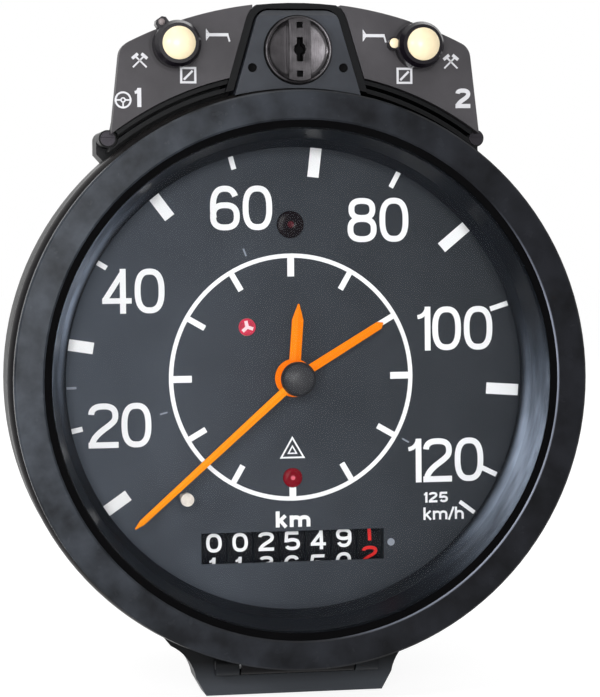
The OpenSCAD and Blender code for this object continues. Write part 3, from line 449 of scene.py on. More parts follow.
FINISHES: dict[str, Finish] = {finish.name: finish for finish in (
    # Painted light: the frame is paler down its finger tab
    Finish("frame_black", (11, 12, 14), Grain.PAINT, 0.4, gloss=0.09, dust=0.08, mottle=0.25, relief=0.04,
           handled=0.6),
    Finish("gasket_rubber", (24, 24, 25), Grain.RUBBER, 0.85, gloss=0.1),
    Finish("cheek_grey", (63, 61, 64), Grain.MOULDED, 0.5, relief=0.25, dust=0.25, mottle=0.18, drift=70.0),
    Finish("screw_steel", (40, 38, 42), Grain.BRUSHED, 0.42, metal=0.8, gloss=0.3),
    Finish("barrel_grey", (66, 68, 71), Grain.PAINT, 0.5, relief=0.2, mottle=0.2),
    bare("zinc_steel", (186, 186, 182), Grain.BRUSHED, 0.34, mottle=0.2),
    Finish("connector_plastic", (196, 188, 163), Grain.MOULDED, 0.5),
    bare("blade_brass", (204, 170, 96), Grain.BRUSHED, 0.3),
    bare("recorder_aluminium", (182, 184, 186), Grain.BRUSHED, 0.38),
    bare("guide_steel", (198, 198, 200), Grain.BRUSHED, 0.28),
    Finish("switch_green", (38, 68, 62), Grain.MOULDED, 0.5),
    Finish("lid_black", (17, 16, 18), Grain.GLOSS, 0.26, gloss=0.08, mottle=0.3, relief=0.03, dust=0.08),
    # Painted light: paler on its upper left side, with a painted highlight along its inner edge
    Finish("bezel_slate", (20, 21, 25), Grain.PAINT, 0.26, gloss=0.09, mottle=0.55, drift=110.0, relief=0.05,
           dust=0.06, bleached=(51, 55, 61), sun_angle=285.0, rubbed=0.9),
    Finish("seal_black", (8, 8, 9), Grain.RUBBER, 0.9, gloss=0.02),
    Finish("window_glass", (70, 78, 90), Grain.CLEAR, 0.05, gloss=0.5, alpha=0.03),
    # Painted sheen: two pale lobes on the dark wall
    Finish("wall_dark", (13, 15, 19), Grain.GLOSS, 0.3, gloss=0.1, relief=0.03, mottle=0.5, drift=60.0,
           fans=0.8),
    # Painted light: paler on its lower left side
    Finish("dial_slate", (45, 48, 52), Grain.PAINT, 0.6, gloss=0.1, relief=0.0, mottle=0.1, drift=55.0,
           bleached=(76, 82, 91), sun_angle=255.0),
    printed("scale_white", (250, 251, 254), mottle=0.03),
    polished("lens_red", (132, 0, 20), 0.16, 0.06, 0.3),
    Finish("peg_white", (214, 206, 196), Grain.GLOSS, 0.35, gloss=0.3, mottle=0.2, drift=500.0, relief=0.05),
    Finish("lock_plate_slate", (52, 55, 61), Grain.PAINT, 0.36, gloss=0.15, mottle=0.25, drift=90.0,
           relief=0.05, dust=0.1),
    Finish("pan_grey", (112, 115, 118), Grain.PAINT, 0.5),
    bare("movement_brass", (176, 160, 116), Grain.TURNED, 0.34),
    bare("counter_aluminium", (170, 172, 174), Grain.BRUSHED, 0.4),
    bare("separator_aluminium", (196, 198, 200), Grain.TURNED, 0.36),
    Finish("rotor_black", (62, 60, 62), Grain.BRUSHED, 0.24, metal=0.8, gloss=0.4, mottle=0.35, drift=260.0,
           relief=0.35),
    polished("knob_black", (17, 14, 20), 0.22, 0.2),
    Finish("cap_cream", (246, 228, 190), Grain.GLOSS, 0.28, gloss=0.3, mottle=0.05, drift=130.0, relief=0.0,
           coat=0.2),
    orange("pointer_orange", (255, 140, 8), 0.45),
    polished("hub_black", (36, 36, 39), 0.42, 0.35, 0.1),
    orange("hand_orange", (255, 128, 0), 0.45),
    Finish("indicator_red", (190, 24, 62), Grain.GLOSS, 0.35, gloss=0.3, mottle=0.35, drift=600.0,
           relief=0.05),
    Finish("drum_black", (10, 10, 12), Grain.MOULDED, 0.55, gloss=0.06, relief=0.0),
    bare("spindle_brass", (192, 172, 112), Grain.TURNED, 0.3),
    Finish("chart_card", (238, 236, 228), Grain.CARD, 0.7, mottle=0.04, relief=0.3),
    Finish("clip_green", (48, 108, 80), Grain.GLOSS, 0.35, gloss=0.4),
    Finish("stylus_red", (190, 62, 48), Grain.MOULDED, 0.45),
    Finish("stylus_yellow", (204, 160, 58), Grain.MOULDED, 0.45),
    Finish("stylus_blue", (76, 124, 178), Grain.MOULDED, 0.45),
)}

PRINT_WHITE = printed("print_white", (250, 251, 254), mottle=0.03)
PRINT_GREY = printed("print_grey", (140, 146, 156), 0.65, 0.1)
PRINT_SIGN = printed("print_sign", (208, 208, 212), mottle=0.1, relief=0.05)
PRINT_RED = printed("print_red", (222, 40, 36), 0.55)
PRINT_PINK = printed("print_pink", (244, 214, 220), gloss=0.1, relief=0.0)
PRINT_CHART = printed("print_chart", (118, 140, 128), 0.8, 0.05, 0.1, 0.15)
LENS_DARK = polished("lens_dark", (20, 12, 14), 0.16, 0.06, 0.35)
LENS_HEART = polished("lens_heart", (72, 16, 24), 0.2, 0.1, 0.35)
# Painted highlight: the pale well of the lower lens
LENS_PAINTED_HIGHLIGHT = polished("lens_painted_highlight", (226, 110, 124), 0.2, 0.1, 0.2)
# Painted shade: the left nib's dot, greyer than the cream dot on the right
DOT_SHADED = polished("dot_shaded", (120, 112, 112), 0.3, 0.2, 0.2)
# Painted shade: near-black floors of the lock's key slot and pockets and of the plate's pits
PAINTED_PIT_SHADE = Finish("painted_pit_shade", (8, 8, 9), Grain.MOULDED, 0.7, gloss=0.05, relief=0.0)
HAND_RIDGE = orange("hand_ridge", (255, 132, 0), 0.4)
POINTER_RIDGE = orange("pointer_ridge", (255, 148, 14), 0.4)


# Surfaces


@dataclass
class Skin:
    """Points and faces of a piece while it is worked out.

    Args:
        points: grids of positions in metres.
        faces: numbers of each face's points.
        inks: number of each face's material slot.
        count: how many points there are.
    """

    points: list[Array] = field(default_factory=list)
    faces: list[list[int]] = field(default_factory=list)
    inks: list[int] = field(default_factory=list)
    count: int = 0

    def grid(self, points: Array, wrap_rows: bool = False, wrap_columns: bool = False,
             cap_ends: bool = False, ink: int | Array = 0) -> None:
        """Adds a surface given on a grid.

        Args:
            points: positions in metres, shaped (rows, columns, 3).
            wrap_rows: whether the last row joins the first.
            wrap_columns: whether the last column joins the first.
            cap_ends: whether the first and the last row are closed with a face each.
            ink: number of the material slot, or one for each face of the grid.
        """
        rows, columns = points.shape[:2]
        index = np.arange(rows * columns).reshape(rows, columns) + self.count
        ends = [index[0][::-1].tolist(), index[-1].tolist()] if cap_ends else []
        if wrap_rows:
            index = np.vstack([index, index[:1]])
        if wrap_columns:
            index = np.hstack([index, index[:, :1]])
        quads = np.stack([index[:-1, :-1], index[1:, :-1], index[1:, 1:], index[:-1, 1:]], axis=-1)
        made = quads.reshape(-1, 4).tolist() + ends
        self.points.append(points.reshape(-1, 3))
        self.faces += made
        self.inks += [ink] * len(made) if isinstance(ink, int) else ink.ravel().tolist()
        self.count += rows * columns

    def turn(self, profile: Iterable[Point], centre: Point = (0.0, 0.0), columns: int = 96,
             ink: int = 0) -> None:
        """Adds a closed surface of revolution."""
        self.grid(turned(profile, centre, columns), wrap_columns=True, ink=ink)

    def piece(self, name: str, body: str, finishes: Sequence[Finish], crease: float = 32.0,
              slot: str | None = None, replaces: Sequence[str] = ()) -> bpy.types.Object:
        """Turns the skin into an object that rides on a body.

        Doubled points, such as a pole's, are merged before the normals are worked out.

        Args:
            name: the object's name.
            body: the CAD body that it moves with.
            finishes: one finish for each ink number.
            crease: angle in degrees past which an edge stays sharp.
            slot: the record's material slot; not used.
            replaces: the CAD nodes that it stands for.

        Returns:
            The object.
        """
        mesh = bpy.data.meshes.new(name)
        mesh.from_pydata(np.vstack(self.points).tolist(), [], self.faces)
        mesh.polygons.foreach_set("material_index", np.array(self.inks, np.int32))
        work = bmesh.new()
        work.from_mesh(mesh)
        bmesh.ops.remove_doubles(work, verts=work.verts, dist=MERGED)
        bmesh.ops.recalc_face_normals(work, faces=work.faces)
        work.to_mesh(mesh)
        work.free()
        mesh.shade_smooth()
        mesh.set_sharp_from_angle(angle=math.radians(crease))
        for finish in finishes:
            mesh.materials.append(finish.material())
        made = bpy.data.objects.new(name, mesh)
        bpy.context.scene.collection.objects.link(made)
        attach(made, body)
        if replaces:
            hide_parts(*replaces)
        LOG.info("%s: %d faces, rides on %s", name, len(mesh.polygons), body)
        return made


def facing(depth: float) -> Placement:
    """Placement on a flat face that looks at the reader.

    Args:
        depth: distance of the face in front of the panel.

    Returns:
        A function from (u, v, h) in millimetres to the row frame: x = u, y = -(depth + h), z = v.
    """
    return lambda p: np.stack([p[..., 0], -(depth + p[..., 2]), p[..., 1]], axis=-1) * MM


def facing_back(depth: float) -> Placement:
    """Placement on a flat face that looks away from the reader.

    Args:
        depth: distance of the face in front of the panel.

    Returns:
        A function from (u, v, h), with u to the right of someone behind: x = -u, y = h - depth, z = v.
    """
    return lambda p: np.stack([-p[..., 0], p[..., 2] - depth, p[..., 1]], axis=-1) * MM


def round_drum(x: float, depth: float, z: float, radius: float) -> Placement:
    """Placement round a drum whose axle runs along X.

    Args:
        x: middle of the drum.
        depth, z: place of its axle.
        radius: radius of its printed face.

    Returns:
        A function from (u, v, h), where v / radius is the angle upwards from the front and radius + h
        the distance from the axle.
    """

    def place(p: Array) -> Array:
        """Bends flat points round the drum.

        Args:
            p: points (u, v, h).

        Returns:
            Their places in the row frame.
        """
        angle, reach = p[..., 1] / radius, radius + p[..., 2]
        return np.stack([x + p[..., 0], -(depth + reach * np.cos(angle)), z + reach * np.sin(angle)],
                        axis=-1) * MM

    return place


def turned(profile: Iterable[Point], centre: Point = (0.0, 0.0), columns: int = 96) -> Array:
    """Surface of revolution about a line along the depth.

    Each profile point (r, d) goes round the circle: x = cx + r sin a, z = cz + r cos a, y = -d.

    Args:
        profile: points as (radius, depth).
        centre: the axis in the front view.
        columns: steps round the circle.

    Returns:
        Points in metres, shaped (profile points, columns, 3).
    """
    radius, depth = np.array(list(profile), float).T
    angle = np.arange(columns) * 2 * np.pi / columns
    x = centre[0] + radius[:, None] * np.sin(angle)
    z = centre[1] + radius[:, None] * np.cos(angle)
    return np.stack([x, np.broadcast_to(-depth[:, None], x.shape), z], axis=-1) * MM


def dome(radius: float, foot: float, rise: float, end: float = 90.0, steps: int = 8,
         power: float = 1.0) -> list[Point]:
    """Profile of a dome: the radius times a power of cos a, and the foot plus the rise times sin a.

    Args:
        radius: radius at the foot.
        foot: depth of the foot.
        rise: height of the whole dome.
        end: last angle in degrees.
        steps: number of points.
        power: power of the cosine, below 1 for a fuller shoulder.

    Returns:
        Points as (radius, depth).
    """
    angle = np.radians(np.linspace(0, end, steps))
    return list(zip(radius * np.cos(angle) ** power, foot + rise * np.sin(angle)))


def fine(path: Array, closed: bool, step: float = 0.4) -> Array:
    """Adds points along the legs of a path, so that it can follow a curved face.

    The corners stay. Between them points lie at whole steps along the path, but not within a fifth of
    a step of a corner.

    Args:
        path: points (u, v).
        closed: whether the path returns to its first point.
        step: distance between the added points.

    Returns:
        The path with more points.
    """
    ring = np.vstack([path, path[:1]]) if closed else path
    corner = np.concatenate([[0.0], np.cumsum(np.linalg.norm(np.diff(ring, axis=0), axis=1))])
    added = np.arange(step, corner[-1], step)
    near = np.abs(added[:, None] - corner).min(axis=1)
    at = np.sort(np.concatenate([corner, added[near > 0.2 * step]]))
    whole = np.stack([np.interp(at, corner, ring[:, 0]), np.interp(at, corner, ring[:, 1])], axis=1)
    return whole[:-1] if closed else whole


def ribbon(path: Array, weight: float, low: float, high: float, closed: bool) -> Array:
    """Rectangular section carried along a flat path.

    At each point the section lies across the mean of the two legs' directions, made wider by one over
    the cosine of half the turn, so that a mitre keeps the stroke's weight. Its corners stand half the
    weight to each side, at the two heights.

    Args:
        path: points (u, v).
        weight: width of the stroke.
        low, high: heights of its foot and its face.
        closed: whether the path returns to its first point.

    Returns:
        Points (u, v, h), shaped (path points, 4, 3).
    """
    after = np.roll(path, -1, axis=0) - path
    before = path - np.roll(path, 1, axis=0)
    if not closed:
        after[-1], before[0] = before[-1], after[0]
    after /= np.linalg.norm(after, axis=1, keepdims=True)
    before /= np.linalg.norm(before, axis=1, keepdims=True)
    across = np.stack([-(after + before)[:, 1], (after + before)[:, 0]], axis=1)
    across /= np.linalg.norm(across, axis=1, keepdims=True)
    bend = np.clip(across[:, 1] * after[:, 0] - across[:, 0] * after[:, 1], MITRE_LIMIT, 1.0)
    side = across * (weight / 2 / bend)[:, None]
    corners = [path + side, path + side, path - side, path - side]
    heights = [low, high, high, low]
    return np.stack([np.column_stack([c, np.full(len(path), h)]) for c, h in zip(corners, heights)],
                    axis=1)


def bow(centre: Point, reach: Point, start: float, end: float, power: float = 2.0,
        steps: int = 24) -> Array:
    """Arc of a superellipse.

    The point at angle a is the centre plus the reaches times cos a and sin a, each raised to 2/power
    with its sign kept. A power of 2 is an ellipse, and a larger one is squarer.

    Args:
        centre: the middle.
        reach: half its width and half its height.
        start, end: angles in degrees, anticlockwise from the right.
        power: exponent of the curve.
        steps: number of legs.

    Returns:
        Points (u, v).
    """
    angle = np.radians(np.linspace(start, end, steps + 1))
    c, s = np.cos(angle), np.sin(angle)
    u = centre[0] + reach[0] * np.sign(c) * np.abs(c) ** (2 / power)
    v = centre[1] + reach[1] * np.sign(s) * np.abs(s) ** (2 / power)
    return np.stack([u, v], axis=1)


def curve(p0: Point, p1: Point, p2: Point, p3: Point, steps: int = 10) -> Array:
    """Cubic curve that leaves p0 towards p1 and reaches p3 from p2.

    Args:
        p0, p1, p2, p3: its four control points.
        steps: number of legs.

    Returns:
        Points (u, v).
    """
    t = np.linspace(0, 1, steps + 1)[:, None]
    a, b, c, d = (np.array(p, float) for p in (p0, p1, p2, p3))
    return (1 - t) ** 3 * a + 3 * (1 - t) ** 2 * t * b + 3 * (1 - t) * t**2 * c + t**3 * d


def legs(*points: Point) -> Array:
    """Returns straight legs through the points."""
    return np.array(points, float)


def clock(radius: float, degrees: float) -> Point:
    """Returns the point at a clock angle, clockwise from the top."""
    return (radius * math.sin(math.radians(degrees)), radius * math.cos(math.radians(degrees)))


# Lettering


@dataclass(frozen=True)
class Stroke:
    """One stroke of a sign.

    Args:
        path: points (u, v).
        weight: its width.
        closed: whether it returns to its start.
    """

    path: Array
    weight: float
    closed: bool = False


@dataclass(frozen=True)
class Lettering:
    """A plain sans-serif face drawn from strokes of one weight.

    Args:
        height: height of the digits.
        width: width of a digit.
        weight: width of the strokes.
        square: exponent of the bowls, above 2 for squarer ones.
    """

    height: float
    width: float
    weight: float
    square: float = 2.5

    @property
    def _half(self) -> float:
        """Half width of the strokes' middle line."""
        return (self.width - self.weight) / 2

    def digit(self, value: int) -> list[Stroke]:
        """Draws a digit with its foot at v = 0 and its middle at u = 0.

        Args:
            value: the digit, 0 to 9.

        Returns:
            Its strokes.
        """
        makers = (self._zero, self._one, self._two, self._three, self._four, self._five, self._six,
                  self._seven, self._eight, self._nine)
        return makers[value]()

    def _stroke(self, *parts: Array, closed: bool = False, share: float = 1.0) -> Stroke:
        """Joins arcs and legs into one stroke, leaving out points that repeat.

        Args:
            parts: the arcs and legs in order.
            closed: whether the stroke returns to its start.
            share: its weight as a share of the lettering's.

        Returns:
            The stroke.
        """
        path = np.vstack(parts)
        gap = np.linalg.norm(np.diff(path, axis=0), axis=1)
        return Stroke(path[np.concatenate([[True], gap > REPEATED])], self.weight * share, closed)

    def _line(self, *points: Point, share: float = 1.0) -> Stroke:
        """Returns a stroke of straight legs."""
        return self._stroke(legs(*points), share=share)

    def _bowl(self, foot: float, top: float, start: float, end: float, steps: int,
              share: float = 1.0) -> Array:
        """Draws the arc of a bowl.

        Args:
            foot, top: heights of its outer edge, as shares of the digit's.
            start, end: angles in degrees, anticlockwise from the right.
            steps: number of legs.
            share: its width as a share of the digit's.

        Returns:
            Points (u, v).
        """
        reach = (top - foot) * self.height / 2 - self.weight / 2
        return bow((0, (top + foot) * self.height / 2), (self._half * share, reach), start, end,
                   self.square, steps)

    def _ring(self, foot: float, top: float, end: float, steps: int, share: float = 1.0) -> Stroke:
        """Returns a closed bowl."""
        return self._stroke(self._bowl(foot, top, 0, end, steps, share), closed=True)

    def _zero(self) -> list[Stroke]:
        """A tall closed bowl."""
        return [self._ring(0, 1, 352, 44)]

    def _one(self) -> list[Stroke]:
        """Draws a stem with a curved flag to its left.

        Returns:
            Its strokes.
        """
        h, t = self.height, self.weight
        reach = ONE_REACH * h
        flag = curve((-reach, 0.765 * h), (-0.5 * reach, 0.775 * h), (-0.13 * reach, 0.86 * h),
                     (-0.1 * t, 0.985 * h))
        return [self._line((0, 0), (0, h)), self._stroke(flag, share=0.72)]

    def _two(self) -> list[Stroke]:
        """Draws a bowl that runs down into a level foot.

        Returns:
            Its strokes.
        """
        h, w, t = self.height, self.width, self.weight
        a = self._half
        top = bow((0, 0.725 * h), (a, 0.275 * h - t / 2), 176, -12, self.square, 22)
        sweep = curve(tuple(top[-1]), (a * 0.92, 0.50 * h), (-a * 0.86, 0.36 * h), (-a * 0.96, t * 0.5))
        return [self._stroke(top, sweep), self._line((-w / 2, t / 2), (w / 2, t / 2))]

    def _three(self) -> list[Stroke]:
        """Two bowls, open at the left, that meet at the waist."""
        return [self._stroke(self._bowl(0.47, 1, 158, -88, 20, 0.9)),
                self._stroke(self._bowl(0, 0.6, 88, -160, 22))]

    def _four(self) -> list[Stroke]:
        """Draws a stem, a bar and a slope between them.

        Returns:
            Its strokes.
        """
        h, w, t = self.height, self.width, self.weight
        stem, bar = 0.21 * w, 0.285 * h
        return [self._line((stem, 0), (stem, h)),
                self._line((-w / 2 + 0.1 * t, bar), (w / 2, bar), share=0.92),
                self._line((-w / 2 + 0.45 * t, bar), (stem + 0.02 * w, h - 0.42 * t), share=0.92)]

    def _five(self) -> list[Stroke]:
        """Draws a top bar, a short side and a bowl.

        Returns:
            Its strokes.
        """
        h, w, t = self.height, self.width, self.weight
        return [self._line((-0.36 * w, h - t / 2), (0.42 * w, h - t / 2)),
                self._line((-0.33 * w, h - 0.2 * t), (-0.41 * w, 0.42 * h), share=0.95),
                self._stroke(self._bowl(0, 0.64, 138, -158, 24))]

    def _six(self) -> list[Stroke]:
        """A closed bowl with an arm that rises from its left over the top."""
        return [self._ring(0, 0.63, 350, 34), self._stroke(self._bowl(0, 1, 205, 32, 26))]

    def _seven(self) -> list[Stroke]:
        """Draws a top bar and a curved fall to the foot.

        Returns:
            Its strokes.
        """
        h, w, t = self.height, self.width, self.weight
        fall = curve((0.44 * w, h - t), (0.1 * w, 0.62 * h), (-0.12 * w, 0.36 * h), (-0.15 * w, 0))
        return [self._line((-0.46 * w, h - t / 2), (0.48 * w, h - t / 2)), self._stroke(fall)]

    def _eight(self) -> list[Stroke]:
        """A small closed bowl on a larger one."""
        return [self._ring(0, 0.59, 350, 34), self._ring(0.48, 1, 350, 30, 0.9)]

    def _nine(self) -> list[Stroke]:
        """A six turned half round."""
        return [Stroke(np.array([0, self.height]) - s.path, s.weight, s.closed) for s in self._six()]

    def _arch(self, left: float, step: float, rise: float) -> Stroke:
        """Draws an arch of a small letter with its right leg.

        Args:
            left: middle of its left leg.
            step: distance between its legs.
            rise: height of its round part.

        Returns:
            The stroke.
        """
        top = LOW * self.height - self.weight / 2 - rise
        arch = bow((left + step / 2, top), (step / 2, rise), 168, 0, 2.3, 12)
        return Stroke(np.vstack([arch, [[left + step, 0]]]), self.weight)

    def unit(self, letters: str) -> tuple[list[Stroke], float]:
        """Draws a unit in small letters.

        Args:
            letters: any of k, m, h and the slash.

        Returns:
            Its strokes from u = 0, and its whole width.
        """
        h, w, t = self.height, self.width, self.weight
        made: list[Stroke] = []
        at = 0.0
        for letter in letters:
            u, wide = at + t / 2, WIDTHS[letter] * w
            if letter == "k":
                made += [Stroke(legs((u, 0), (u, h)), t),
                         Stroke(legs((u, 0.28 * h), (at + wide - t * 0.55, LOW * h)), t * 0.92),
                         Stroke(legs((u + 0.2 * w, 0.40 * h), (at + wide - t * 0.4, 0)), t * 0.92)]
            elif letter == "m":
                step = (wide - t) / 2
                made += [Stroke(legs((u, 0), (u, LOW * h)), t),
                         *(self._arch(u + step * k, step, step * 0.42) for k in (0, 1))]
            elif letter == "h":
                made += [Stroke(legs((u, 0), (u, h)), t), self._arch(u, wide - t, (wide - t) * 0.5)]
            else:
                made.append(Stroke(legs((at + 0.1 * t, -0.04 * h), (at + wide, h)), t * 0.9))
            at += wide + GAP * t
        return made, at - GAP * t


@dataclass
class Printing:
    """A set of printed strokes on one placement.

    Args:
        place: where the flat drawing goes.
        curved: whether it bends, so that straight strokes need points along them.
        foot: height at which the ink starts, just below the surface.
        face: height of the ink.
        skin: the points and faces made so far.
    """

    place: Placement
    curved: bool = False
    foot: float = -0.02
    face: float = 0.09
    skin: Skin = field(default_factory=Skin)

    def draw(self, strokes: Iterable[Stroke], at: Point = (0.0, 0.0), turn: float = 0.0,
             scale: float = 1.0, ink: int = 0) -> None:
        """Prints strokes.

        Each stroke stands a LAYER above the last, so that no two faces share a plane where they cross.

        Args:
            strokes: what to print.
            at: place of the drawing's origin.
            turn: clockwise turn in degrees.
            scale: enlargement.
            ink: number of the ink.
        """
        c, s = math.cos(math.radians(turn)), math.sin(math.radians(turn))
        spin = np.array([[c, -s], [s, c]]) * scale
        for k, stroke in enumerate(strokes):
            path = fine(stroke.path, stroke.closed) if self.curved else stroke.path
            path = path @ spin + np.array(at)
            solid = ribbon(path, stroke.weight * scale, self.foot, self.face + LAYER * k, stroke.closed)
            self.skin.grid(self.place(solid), wrap_rows=stroke.closed, wrap_columns=True,
                           cap_ends=not stroke.closed, ink=ink)

    def spot(self, at: Point, radius: float, ink: int = 0, columns: int = 24) -> None:
        """Prints a round spot: rings of points from the rim's foot to its middle.

        Args:
            at: its middle.
            radius: its radius.
            ink: number of the ink.
            columns: steps round it.
        """
        angle = np.arange(columns) * 2 * np.pi / columns
        rings = [(radius, self.foot), (radius, self.face), (0.0, self.face)]
        points = np.stack([np.stack([at[0] + r * np.sin(angle), at[1] + r * np.cos(angle),
                                     np.full(columns, h)], axis=-1) for r, h in rings])
        self.skin.grid(self.place(points), wrap_columns=True, ink=ink)


# The instrument's pieces


@dataclass
class DialPrint:
    """The numerals, units and small marks printed on the dial.

    Numbers and units stand with the centre of their box. The steps are the distances from a one's stem,
    and from another digit's middle, to the next digit's middle. A faint mark has its clock angle, its
    two radii and its weight.
    """

    face: Lettering = Lettering(12.35, 8.3, 1.64, 2.55)
    steps: Point = (5.5, 9.15)
    numbers: tuple[Triple, ...] = ((20, -48.3, -12.4), (40, -44.2, 24.6), (60, -13.8, 47.3),
                                   (80, 25.0, 43.7), (100, 47.0, 13.0), (120, 44.1, -24.2))
    small: Lettering = Lettering(2.95, 2.45, 0.62, 2.3)
    small_steps: Point = (1.95, 3.05)
    last: Triple = (125, 41.1, -34.7)
    speed_unit: tuple[Lettering, float, float] = (Lettering(3.5, 3.0, 0.62, 2.3), 43.3, -39.3)
    distance_unit: tuple[Lettering, float, float] = (Lettering(4.5, 4.2, 1.1, 2.3), 0.0, -39.7)
    triangle: Triple = (0.0, -20.6, 6.4)
    zero_angle: float = -146.4
    degrees_per_kmh: float = 2.187
    faint_speed: float = 25.0
    faint_speed_mark: Triple = (60.2, 62.9, 0.7)
    faint_angles: Triple = (-20.3, -104.5, 119.6)
    faint_mark: Triple = (36.2, 38.4, 0.45)
    dot: Triple = (28.0, -47.0, 1.05)

    def build(self) -> None:
        """Prints the dial."""
        ink = Printing(facing(DIAL_DEPTH))
        for value, u, v in self.numbers:
            self._number(ink, self.face, str(value), (u, v), self.steps)
        self._number(ink, self.small, str(self.last[0]), self.last[1:], self.small_steps)
        for letters, (face, u, v) in (("km/h", self.speed_unit), ("km", self.distance_unit)):
            strokes, width = face.unit(letters)
            ink.draw(strokes, (u - width / 2, v - face.height / 2))
        self._triangle(ink)
        angle = self.zero_angle + self.faint_speed * self.degrees_per_kmh
        marks = [(angle, self.faint_speed_mark), *((a, self.faint_mark) for a in self.faint_angles)]
        for angle, (inner, outer, weight) in marks:
            ink.draw([Stroke(legs(clock(inner, angle), clock(outer, angle)), weight)], ink=1)
        ink.spot(self.dot[:2], self.dot[2], ink=1)
        ink.skin.piece("dial_numerals", "lid", (PRINT_WHITE, PRINT_GREY), slot="scale_white")

    @staticmethod
    def _number(ink: Printing, face: Lettering, text: str, middle: Point, steps: Point) -> None:
        """Prints a number centred on a point.

        A one is set from its stem, which stands closer to the digit that follows.

        Args:
            ink: the printing to add to.
            face: the lettering.
            text: the number.
            middle: centre of the number's box.
            steps: distance to the next digit's middle, after a one and after another digit.
        """
        at = [0.0]
        for digit in text[:-1]:
            at.append(at[-1] + (steps[0] if digit == "1" else steps[1]))
        left = -ONE_REACH * face.height if text[0] == "1" else -face.width / 2
        shift = middle[0] - (left + at[-1] + face.width / 2) / 2
        for digit, u in zip(text, at):
            ink.draw(face.digit(int(digit)), (shift + u, middle[1] - face.height / 2))

    def _triangle(self, ink: Printing) -> None:
        """Prints the warning triangle: an outline with a smaller one inside.

        Args:
            ink: the printing to add to.
        """
        u, v, side = self.triangle
        outline = np.array([clock(side / math.sqrt(3), a) for a in THIRDS])
        ink.draw([Stroke(outline, 0.5, True), Stroke(outline * 0.36, 0.4, True)], (u, v))


@dataclass
class CheekSigns:
    """The signs moulded and filled on the two cheeks.

    The digits have their place and scale, and the wheel and the square their place and size. The hammers,
    the square and the bed stand on both cheeks, with places for the right one.
    """

    bold: Lettering = Lettering(5.4, 4.2, 1.15, 2.3)
    one: Triple = (-43.4, 74.5, 0.95)
    two: Triple = (46.5, 74.25, 1.0)
    wheel: Triple = (-47.8, 76.4, 2.05)
    hammers: Point = (43.15, 86.9)
    square: Triple = (30.0, 83.1, 3.85)
    bed: Point = (21.7, 94.0)
    bed_shift: float = -0.2

    def build(self) -> None:
        """Prints both cheeks."""
        ink = Printing(facing(CHEEK_DEPTH), face=0.07)
        for value, (u, v, scale) in ((1, self.one), (2, self.two)):
            ink.draw(self.bold.digit(value), (u, v), scale=scale)
        ink.draw(self._wheel(self.wheel[2]), self.wheel[:2])
        for side in (-1, 1):
            for lean in (-1, 1):
                ink.draw(self._hammer(lean), (side * self.hammers[0], self.hammers[1]))
            ink.draw(self._square(self.square[2] / 2), (side * self.square[0], self.square[1]))
            ink.draw(self._bed(), (side * self.bed[0] + self.bed_shift, self.bed[1]))
        ink.skin.piece("cheek_signs", "case", (PRINT_SIGN,), slot="scale_white")

    @staticmethod
    def _wheel(radius: float) -> list[Stroke]:
        """Draws a steering wheel: rim, hub and three spokes.

        Args:
            radius: its radius.

        Returns:
            Its strokes.
        """
        rim = bow((0, 0), (radius, radius), 0, 348, steps=28)
        hub = bow((0, 0), (radius * 0.28, radius * 0.28), 0, 330, steps=10)
        spokes = [Stroke(legs(clock(radius * 0.3, a), clock(radius, a)), 0.42) for a in (90, 180, 270)]
        return [Stroke(rim, 0.5, True), Stroke(hub, 0.36, True), *spokes]

    @staticmethod
    def _hammer(lean: int) -> list[Stroke]:
        """Draws one of two crossed hammers.

        Args:
            lean: 1 for the one whose head is at the left, and minus 1 for the other.

        Returns:
            Its handle and its head.
        """
        return [Stroke(legs((lean * 1.85, -1.7), (-lean * 1.2, 1.3)), 0.45),
                Stroke(legs((-lean * 2.05, 0.65), (-lean * 0.5, 1.95)), 0.85)]

    @staticmethod
    def _square(half: float) -> list[Stroke]:
        """Draws a square crossed by a slanting line.

        Args:
            half: half its side.

        Returns:
            Its strokes.
        """
        box = legs((-half, -half), (half, -half), (half, half), (-half, half))
        slash = 0.62 * half
        return [Stroke(box, 0.6, True), Stroke(legs((-slash, -slash), (slash, slash)), 0.6)]

    @staticmethod
    def _bed() -> list[Stroke]:
        """Draws a bed: the frame, a small wedge at its head, and a slanting foot.

        Returns:
            Its strokes.
        """
        wedge = legs((-3.0, 1.3), (-3.0, -1.2), (-2.2, 0.05))
        return [Stroke(legs((-3.0, 0.05), (3.0, 0.05)), 0.85), Stroke(wedge, 0.5, True),
                Stroke(legs((2.8, 0.1), (3.35, -1.8)), 0.45)]


@dataclass
class CounterDigits:
    """The digits round the seven number drums.

    The drum's front moves up as it counts, so each higher digit lies one tenth of a turn lower.
    """

    face: Lettering = Lettering(5.3, 4.4, 0.95, 2.4)
    drum_radius: float = 10.8
    axle_depth: float = -0.4
    axle_height: float = -47.4
    pitch: float = 7.4
    lead: float = 1.4
    shown: tuple[float, ...] = (0.0, 0.0, 2.0, 5.0, 4.0, 9.06, 1.3)

    def build(self) -> None:
        """Prints ten digits on each drum."""
        last = len(self.shown) - 1
        for k, value in enumerate(self.shown):
            x = (k - last / 2) * self.pitch
            drum = round_drum(x, self.axle_depth, self.axle_height, self.drum_radius)
            ink = Printing(drum, curved=True, foot=-0.03, face=0.05)
            for digit in range(10):
                ahead = (digit - value + 5) % 10 - 5
                v = self.lead - ahead * self.drum_radius * math.pi / 5
                ink.draw(self.face.digit(digit), (0.0, v - self.face.height / 2))
            finish = PRINT_RED if k == last else PRINT_WHITE
            ink.skin.piece(f"drum_{k + 1}_digits", f"drum_{k + 1}", (finish,), slot="scale_white")


